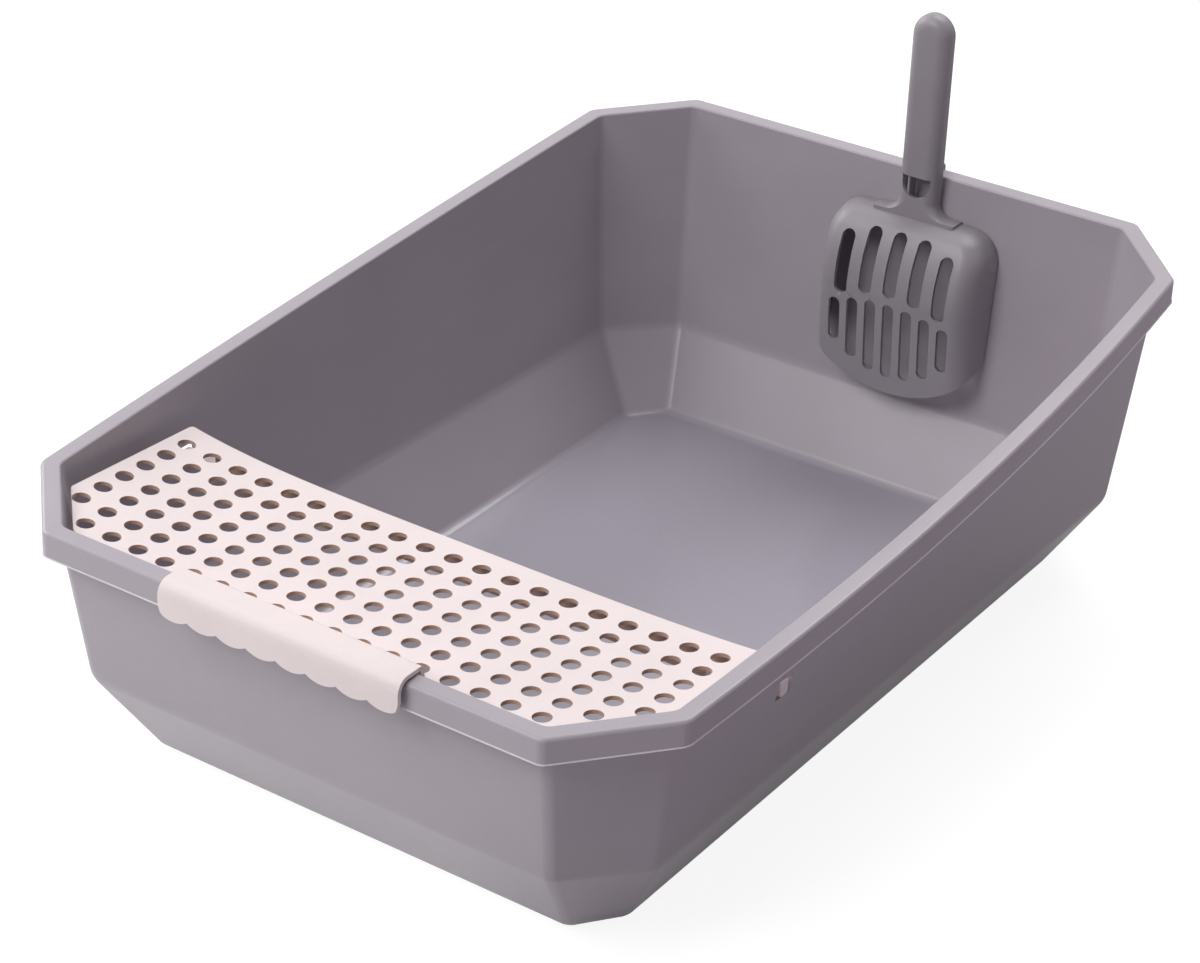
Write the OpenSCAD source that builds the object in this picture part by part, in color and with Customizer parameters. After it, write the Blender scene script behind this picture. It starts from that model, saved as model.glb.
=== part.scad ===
// Litter pan with a perforated entry step and a hang-on scoop.
// Millimetres, +Z up, +Y from the low front rim to the high rear rim.
// The origin lies on the pan's flat bottom, under the centre of its rim.

/* [Pan] */
// Width over the rim, between the ends of its straight sides
pan_w = 360; // [330:5:420]
// Length over the rim
pan_l = 530; // [490:5:620]
// Height of the rim at the front
front_h = 134; // [128:1:146]
// Height of the rim at the rear
rear_h = 176; // [166:1:196]
// Corner cut of the rim along the width
cut_x = 43; // [38:1:52]
// Corner cut of the rim along the length
cut_y = 44; // [38:1:52]
// Outward bow of the left rim
bow_left = 2; // [0:0.5:6]
// Outward bow of the right rim
bow_right = 11; // [0:0.5:12]
// Wall thickness of the pan
pan_t = 2.6; // [2.2:0.1:3.2]
// Radius of the pan's upright corners
corner_r = 9; // [6:0.5:14]

/* [Rim] */
// Width of the flat top of the rim
rim_w = 9.6; // [8.5:0.1:12]
// Depth of the rim's turned-down skirt
skirt_h = 12.5; // [10:0.5:15]
// Thickness of the rim and its skirt
rim_t = 2.2; // [1.8:0.1:2.8]
// Rounding of the rim's outer edge
rim_r = 1.8; // [0.8:0.1:2]

/* [Belly and floor] */
// Height of the top of the bevel at the front
belly_front_h = 51; // [40:1:60]
// Height of the top of the bevel at the rear
belly_rear_h = 44; // [36:1:56]
// How far each side wall leans in from the rim to the bevel
side_lean = 11; // [8:0.5:14]
// How far each end wall leans in from the rim to the bevel
end_lean = 12; // [9:0.5:16]
// Corner cut at the top of the bevel along the width
belly_cut_x = 32; // [28:0.5:36]
// Corner cut at the top of the bevel along the length
belly_cut_y = 35.5; // [30:0.5:38]
// How far the bevel leans in on each side
side_bevel = 28; // [20:1:34]
// How far the bevel leans in at each end
end_bevel = 30; // [24:1:36]
// Corner cut of the floor along the width
floor_cut_x = 16; // [12:0.5:22]
// Corner cut of the floor along the length
floor_cut_y = 21.5; // [16:0.5:26]
// Distance of the floor's centre behind the rim's centre
floor_back = 3; // [0:0.5:6]
// Thickness of the floor
floor_t = 3; // [2.4:0.1:4]

/* [Entry step] */
// Depth of the plate's last row of holes under the front rim
plate_drop = 13.3; // [10:0.1:20]
// Thickness of the plate
plate_t = 2; // [1.8:0.1:2.6]
// Tilt of the plate, up towards the front, in degrees
plate_tilt = 2.2; // [0:0.2:3]
// How far the dished plate rises to its left side
dish_left = 7; // [2:0.5:8]
// How far the dished plate rises to its right side
dish_right = 3; // [1:0.5:5]
// Width of the plate
plate_w = 325; // [300:1:327]
// Distance of the plate's and the hook's middle from the pan's centre plane
plate_x = 2; // [0:0.5:3]
// Corner cut at the front left of the plate
cut_left = 26; // [24:0.5:26]
// Corner cut at the front right of the plate
cut_right = 28; // [27:0.5:31]
// Distance of the plate's rear edge behind the front of the rim
plate_l = 127; // [120:1:135]
// Diameter of the holes in the plate
hole_d = 8.8; // [7:0.2:10]
// Spacing of the holes across the plate
hole_pitch_x = 15.9; // [14.5:0.1:16.2]
// Spacing of the rows of holes
hole_pitch_y = 14.4; // [13.5:0.1:15]
// Holes in a full row
hole_columns = 20; // [18:1:20]
// Rows of holes
hole_rows = 7; // [5:1:7]
// Distance of the last row of holes from the plate's rear edge
hole_margin = 14.6; // [12:0.2:18]

/* [Step's flange and lugs] */
// Depth of the flange under the plate's rear edge
flange_h = 20; // [18:0.5:23]
// Thickness of the flange
flange_t = 2.2; // [1.8:0.1:3]
// Depth of the lugs' axis under the plate
lug_drop = 13.7; // [11.7:0.1:15.7]
// Distance of the lugs' axis behind the plate's rear edge
lug_behind = 4; // [3.5:0.1:4.5]
// Radius that a lug's corners turn on
lug_r = 4.5; // [4.3:0.1:4.6]
// Length of a lug between its upright flats
lug_l = 6.4; // [5:0.1:8]
// Height of a lug over its axis
lug_over = 3.2; // [2.6:0.1:4.2]
// Depth of a lug under its axis
lug_under = 4.1; // [3.4:0.1:4.3]
// Clearance under a turning lug in its window
lug_gap = 0.2; // [0.2:0.1:0.6]
// Clearance before and behind a turning lug in its window
lug_side_gap = 1; // [0.6:0.1:1.8]
// Clearance over a turning lug in its window
lug_top_gap = 1.4; // [0.6:0.1:2.2]

/* [Step's hook] */
// Width of one scallop
scallop_w = 16.5; // [14:0.5:18]
// Number of scallops along the hook
scallops = 8; // [6:1:8]
// Depth of the scallops
scallop_d = 2.4; // [1.5:0.1:4]
// How far the hook hangs below the top of the rim
hook_drop = 11.5; // [10.5:0.5:16]
// Thickness of the hook
hook_t = 2.2; // [1.8:0.1:2.8]
// Clearance of the hook over the rim
hook_gap = 0.5; // [0.3:0.1:1]
// Clearance of the hanging flap in front of the skirt
flap_gap = 2.6; // [2.4:0.1:3.5]
// Outer rounding of the hook's front edge
hook_r = 7; // [4.5:0.5:7.5]

/* [Scoop] */
// Distance of the scoop from the pan's centre plane
scoop_x = 16.5; // [-60:0.5:60]
// Wall thickness of the scoop
scoop_t = 2.2; // [1.8:0.1:2.6]
// Clearance between the bowl's back edge and the pan's rear wall
scoop_gap = 1; // [0.6:0.1:2.5]

/* [Scoop's handle] */
// Width of the handle
handle_w = 22.5; // [20:0.5:25]
// Depth of the handle
handle_d = 9.5; // [8.5:0.5:11]
// Height of the handle's end over the rear rim
handle_h = 90.5; // [80:0.5:110]
// Rounding of the handle's front edges
handle_r = 5; // [3:0.5:6]
// Half width of the collar that joins the handle to the bowl
collar_hw = 25; // [22:0.5:28]
// Width of the hook behind the handle
scoop_hook_w = 9.5; // [8:0.5:14]

/* [Scoop's bowl] */
// Width of the bowl at its flat face
face_w = 92; // [88:1:96]
// Width of the bowl's open side
mouth_w = 99; // [97:1:104]
// Depth of the bowl's top under the rear rim
bowl_top = 23; // [21:0.5:26]
// Height of the bowl
bowl_h = 99.5; // [96:0.5:102]
// Distance of the flat face in front of the rim's rear edge
face_depth = 41.5; // [38:0.5:44]
// Radius of the bowl's upright front edges
bowl_r = 10; // [6:0.5:12]
// Radius of the bowl's lip
lip_r = 69; // [62:1:90]
// Width of a lower slot
slot_w = 7; // [5:0.2:7.4]
// Spacing of the lower slots
slot_pitch = 11.2; // [10.6:0.1:11.4]
// Number of lower slots
lower_slots = 7; // [5:1:7]
// Width of an upper slot
upper_w = 8.2; // [6:0.2:9]
// Spacing of the upper slots
upper_pitch = 15.1; // [13.5:0.1:15.6]
// Number of upper slots
upper_slots = 5; // [3:1:5]

/* [Hidden] */
$fn = 48;

pan_grey = [0.66, 0.63, 0.66];
step_white = [0.95, 0.91, 0.92];
scoop_grey = [0.56, 0.53, 0.56];
eps = 0.01;

// Points of a rounded corner, and of a straight side
corner_steps = 5;
side_steps = 8;
// Soft edges of the bevel and the floor
belly_soft = 4;
floor_soft = 2.5;
fillet = 5;

// The rim slopes from the front to the rear, and so does the bevel's top
function along(y) = (y + pan_l / 2) / pan_l;
function rim_z(y) = front_h + (rear_h - front_h) * along(y);
function belly_z(y) = belly_front_h + (belly_rear_h - belly_front_h) * along(y);

// Half sizes of the outer outline at the wall's top, the bevel's top and the floor
wall_in = rim_w - pan_t;
wall_hx = pan_w / 2 - wall_in;
wall_hy = pan_l / 2 - wall_in;
belly_hx = wall_hx - side_lean;
belly_hy = wall_hy - end_lean;
floor_hx = belly_hx - side_bevel;
floor_hy = belly_hy - end_bevel;

// Corner cut left after the outline [cx, cy] has moved in by t
function cut_in(cx, cy, t) =
    let (slant = norm([cx, cy]))
    [cx - t * (1 - (slant - cx) / cy), cy - t * (1 - (slant - cy) / cx)];

// Corners of a cut rectangle, counter-clockwise from the front left
function cut_box(hx, hy, c, yc) = [
    [-hx + c.x, yc - hy], [hx - c.x, yc - hy], [hx, yc - hy + c.y], [hx, yc + hy - c.y],
    [hx - c.x, yc + hy], [-hx + c.x, yc + hy], [-hx, yc + hy - c.y], [-hx, yc - hy + c.y]];

// Unit vector and a quarter turn
function unit(v) = v / norm(v);
function left_of(v) = [-v.y, v.x];

// Arc that rounds the corner b between its neighbours a and c
function corner_arc(a, b, c, r) =
    let (
        d1 = unit(b - a),
        d2 = unit(c - b),
        turn = acos(d1 * d2),
        m = b - d1 * r * tan(turn / 2) + left_of(d1) * r)
    [for (i = [0 : corner_steps])
        let (t = turn * i / corner_steps)
        m - r * (left_of(d1) * cos(t) - d1 * sin(t))];

// Points between two corners of the long sides
function side_points(a, b) = [for (i = [1 : side_steps - 1]) a + (b - a) * i / side_steps];

// Rounded outline as a list of [x, y] points, with the same number of points each time
function outline(hx, hy, c, yc, r) =
    let (
        p = cut_box(hx, hy, c, yc),
        arcs = [for (i = [0 : 7]) corner_arc(p[(i + 7) % 8], p[i], p[(i + 1) % 8], r)])
    concat(arcs[0], arcs[1], arcs[2], side_points(arcs[2][corner_steps], arcs[3][0]),
        arcs[3], arcs[4], arcs[5], arcs[6], side_points(arcs[6][corner_steps], arcs[7][0]), arcs[7]);

// Outward bow of the rim's long sides: its share at the place y, and its depth at the point p
straight_hy = pan_l / 2 - cut_y;
function bow_share(y) = max(0, 1 - pow(y / straight_hy, 2));
function bow(p) = bow_share(p.y) * (p.x > 0 ? bow_right : -bow_left);

// Outline of the half sizes [hx, hy], set in by t, with the corner cut c and its middle at yc
least_r = 2;
function inset(hx, hy, c, yc, t) =
    outline(hx - t, hy - t, cut_in(c.x, c.y, t), yc, max(corner_r - t, least_r));

// Ring set in by t from the rim, at the depth dz under the rim's top, and like rings
// at the height dz over the bevel's top and over the floor
function rim_ring(t, dz) = [
    for (p = inset(pan_w / 2, pan_l / 2, [cut_x, cut_y], 0, t))
        [p.x + bow(p), p.y, rim_z(p.y) - dz]];
function belly_ring(t, dz) = [
    for (p = inset(belly_hx, belly_hy, [belly_cut_x, belly_cut_y], 0, t))
        [p.x, p.y, belly_z(p.y) + dz]];
function floor_ring(t, dz) = [
    for (p = inset(floor_hx, floor_hy, [floor_cut_x, floor_cut_y], floor_back, t))
        [p.x, p.y, dz]];

// Point-by-point mix of two rings
function mix_ring(a, b, t) = [for (i = [0 : len(a) - 1]) a[i] * (1 - t) + b[i] * t];

// Walls between the levels, outside and inside
wall_top_out = rim_ring(wall_in, rim_t);
belly_out = belly_ring(0, 0);
floor_out = floor_ring(0, 0);
rim_in = rim_ring(rim_w, rim_r / 2);
belly_in = belly_ring(pan_t, 1);
floor_inset = pan_t * 0.6;
floor_in = floor_ring(floor_inset, floor_t);

// Share of the wall's height, and of the bevel's, that a soft edge takes
function wall_share(a) = a / (rear_h + front_h - belly_front_h - belly_rear_h) * 2;
bevel_share = belly_soft / belly_front_h;

// From the bottom up the outside, over the rim, and down the inside to the floor
pan_rings = [
    floor_ring(floor_soft, 0),
    mix_ring(floor_out, belly_out, floor_soft * 0.4 / belly_front_h),
    mix_ring(belly_out, floor_out, bevel_share),
    mix_ring(mix_ring(belly_out, floor_out, bevel_share / 3), mix_ring(belly_out, wall_top_out,
        wall_share(belly_soft) / 3), 0.5),
    mix_ring(belly_out, wall_top_out, wall_share(belly_soft)),
    wall_top_out,
    rim_ring(rim_t, rim_t),
    rim_ring(rim_t, skirt_h),
    rim_ring(0, skirt_h),
    rim_ring(0, rim_r),
    rim_ring(rim_r * 0.3, rim_r * 0.3),
    rim_ring(rim_r, 0),
    rim_ring(rim_w - rim_r / 2, 0),
    rim_in,
    mix_ring(belly_in, rim_in, wall_share(belly_soft)),
    mix_ring(mix_ring(belly_in, floor_in, bevel_share / 3), mix_ring(belly_in, rim_in,
        wall_share(belly_soft) / 3), 0.5),
    mix_ring(belly_in, floor_in, bevel_share),
    mix_ring(floor_in, belly_in, fillet / belly_front_h),
    mix_ring(floor_ring(floor_inset + fillet * 0.3, floor_t), mix_ring(floor_in, belly_in,
        fillet * 0.3 / belly_front_h), 0.5),
    floor_ring(floor_inset + fillet, floor_t)];

// Closed solid through a list of rings, first and last capped
module loft(rings) {
    n = len(rings[0]);
    k = len(rings);
    points = [for (r = rings) for (p = r) p];
    sides = [for (j = [0 : k - 2]) for (i = [0 : n - 1])
        let (a = j * n + i, b = j * n + (i + 1) % n)
        each [[a, a + n, b], [b, a + n, b + n]]];
    caps = [[for (i = [0 : n - 1]) i], [for (i = [n - 1 : -1 : 0]) (k - 1) * n + i]];
    polyhedron(points = points, faces = concat(sides, caps), convexity = 6);
}

// Heights of the step's plate and of its lugs, and the plate's rear edge
plate_z = front_h - plate_drop;
lug_z = plate_z - lug_drop;
plate_rear = pan_l / 2 - plate_l;

// Outer face of the pan's wall at the lugs' height, on the side s = -1 or 1
lug_y = lug_behind - plate_rear;
lug_share = (lug_z - belly_z(lug_y)) / (rim_z(lug_y) - rim_t - belly_z(lug_y));
function lug_wall(s) = belly_hx + (wall_hx - belly_hx) * lug_share
    + lug_share * bow_share(lug_y) * (s > 0 ? bow_right : bow_left);

// One window in each side wall, round the step's lug
module lug_window(s) {
    l = 2 * (lug_r + lug_side_gap);
    h = 2 * lug_r + lug_gap + lug_top_gap;
    translate([s * (lug_wall(s) - pan_t / 2), lug_y, lug_z + (lug_top_gap - lug_gap) / 2])
        cube([4 * pan_t, l, h], center = true);
}

module litter_pan() {
    color(pan_grey)
    difference() {
        loft(pan_rings);
        lug_window(-1);
        lug_window(1);
    }
}

// Half width of the plate, and its front edge, clear of the pan's front wall
plate_hx = plate_w / 2;
plate_front_gap = 6;
front_share = (plate_z - belly_front_h) / (front_h - belly_front_h);
plate_front = belly_hy - pan_t + end_lean * front_share - plate_front_gap;
plate_corner_r = 2.5;
dish_steps = 20;

// Height of the dished plate over its middle
function dish(x) = (x < 0 ? dish_left : dish_right) * pow(x / plate_hx, 4);
dish_max = max(dish_left, dish_right);

// Puts a child from the plate's own frame, level, with its last row of holes at y = 0
last_row = -plate_rear - hole_margin;
module on_plate() {
    translate([plate_x, last_row, plate_z]) rotate([-plate_tilt, 0, 0]) children();
}

// Band of the plate's dished section, dz below its top, t thick, from y0 to y1
module dished_band(dz, t, y0, y1) {
    xs = [for (i = [0 : dish_steps]) plate_hx * (2 * i / dish_steps - 1)];
    translate([0, y1, 0]) rotate([90, 0, 0]) linear_extrude(y1 - y0)
        polygon(concat([for (x = xs) [x, dish(x) - dz]],
            [for (i = [dish_steps : -1 : 0]) [xs[i], dish(xs[i]) - dz - t]]));
}

// Plan of the plate, in the plate's own frame
module plate_plan() {
    front = last_row + plate_front;
    p = [[-plate_hx + cut_left, -front], [plate_hx - cut_right, -front],
        [plate_hx, -front + cut_right], [plate_hx, hole_margin],
        [-plate_hx, hole_margin], [-plate_hx, -front + cut_left]];
    arcs = [for (i = [0 : 5]) corner_arc(p[(i + 5) % 6], p[i], p[(i + 1) % 6], plate_corner_r)];
    polygon([for (a = arcs) each a]);
}

// The front row has one hole less at each end
module plate_holes() {
    for (j = [0 : hole_rows - 1]) {
        skip = j == hole_rows - 1 ? 1 : 0;
        for (i = [skip : hole_columns - 1 - skip])
            translate([(i - (hole_columns - 1) / 2) * hole_pitch_x - plate_x, -j * hole_pitch_y, -plate_t * 2])
                cylinder(d = hole_d, h = dish_max + plate_t * 4);
    }
}

module step_plate() {
    on_plate() difference() {
        intersection() {
            dished_band(0, plate_t, -plate_front, hole_margin);
            translate([0, 0, -plate_t * 2]) linear_extrude(dish_max + plate_t * 4) plate_plan();
        }
        plate_holes();
    }
}

// Flange that hangs under the plate's rear edge
flange_in = 16;
module step_flange() {
    w = 2 * (plate_hx - flange_in);
    bottom = plate_z - flange_h;
    intersection() {
        translate([plate_x - w / 2, -plate_rear - flange_t, bottom]) cube([w, flange_t, flange_h + dish_max]);
        on_plate() dished_band(plate_t / 2, flange_h * 2, -plate_front, hole_margin + flange_t);
    }
}

// Lug block at the flange's end, and the flatted lug out to the pan's window
lug_recess = 0.3;
block_w = 10;
block_h = 8.6;
block_front = 9.7;
block_rear = 3.2;
module step_lug(s) {
    inner = plate_hx - flange_in - block_w;
    l = lug_wall(s) - lug_recess - inner - s * plate_x;
    translate([plate_x + s * inner, lug_y, lug_z]) {
        intersection() {
            rotate([0, s * 90, 0]) cylinder(r = lug_r, h = l);
            translate([s * l / 2, 0, (lug_over - lug_under) / 2])
                cube([l + eps, lug_l, lug_over + lug_under], center = true);
        }
        translate([s * block_w / 2, (block_rear - block_front) / 2, 0])
            cube([block_w, block_front + block_rear, block_h], center = true);
    }
}

// Hook over the front rim, in the plane x = 0: inner and outer line
hook_w = scallops * scallop_w;
rim_front = -pan_l / 2;
hook_top = rim_z(rim_front + rim_w) + hook_gap + hook_t;
flap_y = rim_front - flap_gap;
riser_gap = 0.9;
riser_y = rim_front + rim_w + riser_gap;
// The riser leans back like the pan's wall in front of it
riser_foot = riser_y + end_lean * (front_h - plate_z + plate_t) / (front_h - belly_front_h);
plate_at_riser = plate_z + tan(plate_tilt) * (last_row - riser_foot);

module hook_section() {
    top_in = hook_top - hook_t;
    ri = hook_r - hook_t;
    flap_bottom = rim_z(rim_front) - hook_drop - scallop_d;
    outer = [for (i = [0 : 6]) let (a = 90 + 15 * i)
        [flap_y - hook_t + hook_r + hook_r * cos(a), hook_top - hook_r + hook_r * sin(a)]];
    inner = [for (i = [6 : -1 : 0]) let (a = 90 + 15 * i)
        [flap_y + ri + ri * cos(a), top_in - ri + ri * sin(a)]];
    polygon(concat(
        [[riser_foot + hook_t, plate_at_riser - plate_t], [riser_y + hook_t, hook_top - hook_t],
            [riser_y, hook_top]],
        outer, [[flap_y - hook_t, flap_bottom], [flap_y, flap_bottom]],
        inner, [[riser_y, top_in], [riser_foot, plate_at_riser - plate_t]]));
}

// Front view of the hook: rounded lower corners and a scalloped lower edge
hook_corner_r = 6;
module hook_front() {
    low = rim_z(rim_front) - hook_drop;
    bottom = low - scallop_d;
    corner_x = hook_w / 2 - hook_corner_r;
    lobe_r = (pow(scallop_w / 2, 2) + pow(scallop_d, 2)) / (2 * scallop_d);
    intersection() {
        union() {
            translate([-hook_w / 2, low]) square([hook_w, hook_top - low + 1]);
            intersection() {
                translate([-hook_w / 2, bottom]) square([hook_w, 2 * scallop_d]);
                for (i = [0 : scallops - 1])
                    translate([(i + 0.5 - scallops / 2) * scallop_w, bottom + lobe_r])
                        circle(r = lobe_r, $fn = 96);
            }
        }
        union() {
            translate([-corner_x, bottom]) square([2 * corner_x, hook_top]);
            translate([-hook_w / 2, bottom + hook_corner_r]) square([hook_w, hook_top]);
            for (s = [-1, 1]) translate([s * corner_x, bottom + hook_corner_r]) circle(r = hook_corner_r);
        }
    }
}

landing_l = 3.5;
module step_hook() {
    translate([plate_x, 0, 0]) {
        intersection() {
            translate([-hook_w / 2, 0, 0]) rotate([90, 0, 90]) linear_extrude(hook_w) hook_section();
            union() {
                translate([0, rim_front, 0]) rotate([90, 0, 0])
                    linear_extrude(flap_gap + 2 * hook_t) hook_front();
                translate([-hook_w / 2, rim_front - eps, 0])
                    cube([hook_w, riser_foot + 2 * hook_t - rim_front, hook_top + 1]);
            }
        }
        // Landing that joins the riser to the plate's front edge
        translate([-hook_w / 2, riser_foot, plate_at_riser - plate_t])
            cube([hook_w, landing_l - plate_front - riser_foot, plate_t]);
    }
}

module entry_step() {
    color(step_white) {
        step_plate();
        step_flange();
        step_hook();
        for (s = [-1, 1]) step_lug(s);
    }
}

// Scoop, hanging on the rear rim: its own frame has x = 0 on the handle's middle
rim_rear = pan_l / 2;
rim_rear_z = rim_z(rim_rear);
handle_gap = 2.7;
handle_back = rim_rear - rim_w - handle_gap;
handle_front = handle_back - handle_d;
dome_r = handle_w / 2;
dome_z = rim_rear_z + handle_h - dome_r;

// Bowl: its top, its flat face and its lip
bowl_z = rim_rear_z - bowl_top;
lip_z = bowl_z - bowl_h;
neck_z = bowl_z + 2;
face_y = rim_rear - face_depth;
heel_z = bowl_z - 41;
heel_r = 65;
shoulder_r = 17;
face_tilt = 0.075;

// Inner face of the pan's rear wall at the height z
function rear_wall(z) =
    belly_hy - pan_t + end_lean * (z - belly_rear_h) / (rear_h - belly_rear_h);

// Front of the bowl at the height z: flat, then curving back over the heel
function bowl_front(z) =
    z < heel_z ? face_y + face_tilt * (heel_z - z)
    : face_y + heel_r - sqrt(pow(heel_r, 2) - pow(z - heel_z, 2));

// Share of the half width left under the rounded shoulders at the height z
function shoulder(z) =
    let (h = max(0, z - bowl_z + shoulder_r))
    shoulder_r - sqrt(max(0, pow(shoulder_r, 2) - pow(h, 2)));

// Section of the bowl, set in by t, with its front at yf and its back at yb
function bowl_ring(z, yf, yb, t) =
    let (
        hm = mouth_w / 2 - shoulder(z) - t,
        hf = face_w / 2 - shoulder(z) - t,
        r = min(bowl_r - t, (yb - yf) / 2),
        p = [[-hm, yb], [-hf, yf + t], [hf, yf + t], [hm, yb]])
    [for (q = concat([p[0]], corner_arc(p[0], p[1], p[2], r), corner_arc(p[1], p[2], p[3], r), [p[3]]))
        [q.x, q.y, z]];

// The last rings round the heel into the bowl's flat top
heel_steps = 5;
top_front = [[-5.5, 0], [-2.2, 5], [-0.6, 10], [0, 14]];
module bowl_solid(t, back, low) {
    z1 = bowl_z + top_front[0].x;
    rings = concat(
        [for (z = [low, lip_z + 12, heel_z]) bowl_ring(z, bowl_front(z), rear_wall(z) + back, t)],
        [for (i = [1 : heel_steps]) let (z = heel_z + (z1 - heel_z) * i / heel_steps)
            bowl_ring(z - t * i / heel_steps, bowl_front(z), rear_wall(z) + back, t)],
        [for (i = [1 : 3]) let (z = bowl_z + top_front[i].x)
            bowl_ring(z - t, bowl_front(z1) + top_front[i].y, rear_wall(z) + back, t)]);
    loft(rings);
}

// Front view of the bowl, with its curved lip
lip_corner_r = 22;
module bowl_outline() {
    offset(r = lip_corner_r) offset(delta = -lip_corner_r) intersection() {
        translate([0, lip_z + lip_r]) circle(r = lip_r, $fn = 120);
        translate([-mouth_w / 2 - 1, lip_z]) square([mouth_w + 2, lip_r]);
    }
    translate([-mouth_w / 2 - 1, lip_z + lip_r - lip_corner_r]) square([mouth_w + 2, bowl_h]);
}

// Side view of the bowl: its sides run out towards the lip
side_low_z = 13;
side_mid_z = 34;
side_mid_d = 9;
side_full_z = 55;
module bowl_side() {
    y0 = face_y - 1;
    lip_y = face_y + face_tilt * (heel_z - lip_z) + scoop_t;
    y1 = rim_rear;
    polygon([[y0, lip_z - 1], [lip_y, lip_z - 1], [lip_y, lip_z + side_low_z],
        [lip_y + side_mid_d, lip_z + side_mid_z],
        [rear_wall(lip_z + side_full_z) - scoop_gap, lip_z + side_full_z],
        [y1, lip_z + side_full_z], [y1, bowl_z + 1], [y0, bowl_z + 1]]);
}

// One slot through the bowl's face, from z0 up to z1
slot_reach = 26;
module slot(x, w, z0, z1) {
    translate([x, face_y - 1, 0]) rotate([-90, 0, 0]) linear_extrude(slot_reach) {
        translate([-w / 2, w / 2 - z1]) square([w, z1 - z0 - w]);
        for (z = [z0 + w / 2, z1 - w / 2]) translate([0, -z]) circle(d = w);
    }
}

// Both rows of slots follow arches
lower_margin = 9.5;
lower_arch = 14;
upper_arch = 5;
upper_h = 35.4;
bar_h = 4;
module bowl_slots() {
    lower_hx = (lower_slots - 1) / 2 * slot_pitch;
    upper_hx = (upper_slots - 1) / 2 * upper_pitch;
    for (i = [0 : lower_slots - 1]) {
        x = i * slot_pitch - lower_hx;
        u = pow(x / lower_hx, 2);
        slot(x, slot_w, lip_z + lower_margin + lower_arch * u, heel_z - bar_h - upper_arch * u);
    }
    for (i = [0 : upper_slots - 1]) {
        x = i * upper_pitch - upper_hx;
        u = pow(x / upper_hx, 2);
        slot(x, upper_w, heel_z - upper_arch * u, heel_z + upper_h - upper_arch * pow(u, 2));
    }
}

module bowl() {
    difference() {
        intersection() {
            bowl_solid(0, -scoop_gap, lip_z - 1);
            translate([0, rim_rear, 0]) rotate([90, 0, 0]) linear_extrude(face_depth + 5) bowl_outline();
            translate([-mouth_w, 0, 0]) rotate([90, 0, 90]) linear_extrude(2 * mouth_w) bowl_side();
        }
        bowl_solid(scoop_t, 1, lip_z - 2);
        bowl_slots();
    }
}

// Section of the handle, set in by t, from its back at 0 to its rounded front
module handle_section(t, half) {
    w = dome_r - t;
    d = handle_d - t;
    r = handle_r - t;
    right = concat([[w, 0]], [for (i = [0 : 6]) let (a = -15 * i)
        [w - r + r * cos(a), r - d + r * sin(a)]]);
    left = [for (i = [len(right) - 1 : -1 : 0]) [-right[i].x, right[i].y]];
    polygon(half ? concat([[0, 0]], right, [[0, -d]]) : concat(right, left));
}

// Bar with a domed end, set in by t, from the height z0
module handle_bar(t, z0) {
    translate([0, handle_back, z0]) linear_extrude(dome_z - z0) handle_section(t, false);
    translate([0, handle_back, dome_z]) rotate([-90, 180, 0])
        rotate_extrude(angle = 180) handle_section(t, true);
}

// Front view of the collar, set in by t: the handle spreads out over the bowl
collar_h = 3;
collar_r = 8;
collar_sink = 1.8;
module collar_outline(t) {
    x0 = dome_r - t;
    x1 = collar_hw - t;
    z0 = bowl_z - collar_sink;
    side = [for (i = [0 : 6]) let (a = 15 * i)
        [x0 + collar_r - collar_r * sin(a), z0 + collar_h + collar_r * (1 - cos(a)) - t]];
    polygon(concat([[x1, z0], [x1, z0 + collar_h - t]], side, [for (i = [6 : -1 : 0]) [-side[i].x, side[i].y]],
        [[-x1, z0 + collar_h - t], [-x1, z0]]));
}

module collar() {
    d = handle_back - handle_front;
    translate([0, handle_back, 0]) rotate([90, 0, 0]) difference() {
        linear_extrude(d) collar_outline(0);
        translate([0, 0, -1]) linear_extrude(d + 1 - scoop_t) collar_outline(scoop_t);
    }
}

// U-shaped window at the neck
window_hw = 8.4;
window_z = rim_rear_z + 0.2;
module neck_window() {
    h = 3.6;
    translate([0, handle_front - 1, window_z]) rotate([-90, 0, 0]) linear_extrude(scoop_t + 4) {
        translate([-window_hw, 0]) square([2 * window_hw, h]);
        intersection() {
            translate([0, h]) circle(r = window_hw);
            translate([-window_hw, 0]) square(2 * window_hw);
        }
    }
}

// Hook from the handle's back over the rear rim
hook_bar = 2.4;
seat_gap = 0.3;
hook_back_gap = 0.5;
hook_short = 2;
module scoop_hook() {
    front = handle_front + scoop_t / 2;
    back = rim_rear + hook_back_gap;
    bottom = rim_rear_z - skirt_h + hook_short;
    translate([-scoop_hook_w / 2, front, rim_rear_z + seat_gap])
        cube([scoop_hook_w, back + hook_bar - front, hook_bar]);
    translate([-scoop_hook_w / 2, back, bottom])
        cube([scoop_hook_w, hook_bar, rim_rear_z + seat_gap + hook_bar - bottom]);
}

// Rib along the handle's hollow
rib_x = -4.6;
rib_t = 1.4;
module handle_rib() {
    z0 = neck_z - 1;
    translate([rib_x - rib_t / 2, handle_front + scoop_t / 2, z0])
        cube([rib_t, handle_d - scoop_t, dome_z - z0]);
}

module handle() {
    difference() {
        union() {
            handle_bar(0, neck_z);
            collar();
        }
        difference() {
            handle_bar(scoop_t, neck_z - 1);
            translate([-handle_w, handle_back, 0]) cube([2 * handle_w, 1, scoop_t]);
        }
        translate([-dome_r + scoop_t, handle_back - 1, neck_z]) cube([handle_w - 2 * scoop_t, 2, dome_z - neck_z]);
        neck_window();
    }
    handle_rib();
}

module litter_scoop() {
    color(scoop_grey) translate([scoop_x, 0, 0]) {
        handle();
        scoop_hook();
        bowl();
    }
}

litter_pan();
entry_step();
litter_scoop();
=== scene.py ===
import math

import bmesh
import bpy
from bpy.props import FloatProperty, FloatVectorProperty, IntProperty, PointerProperty
from mathutils import Matrix, Quaternion, Vector


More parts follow.
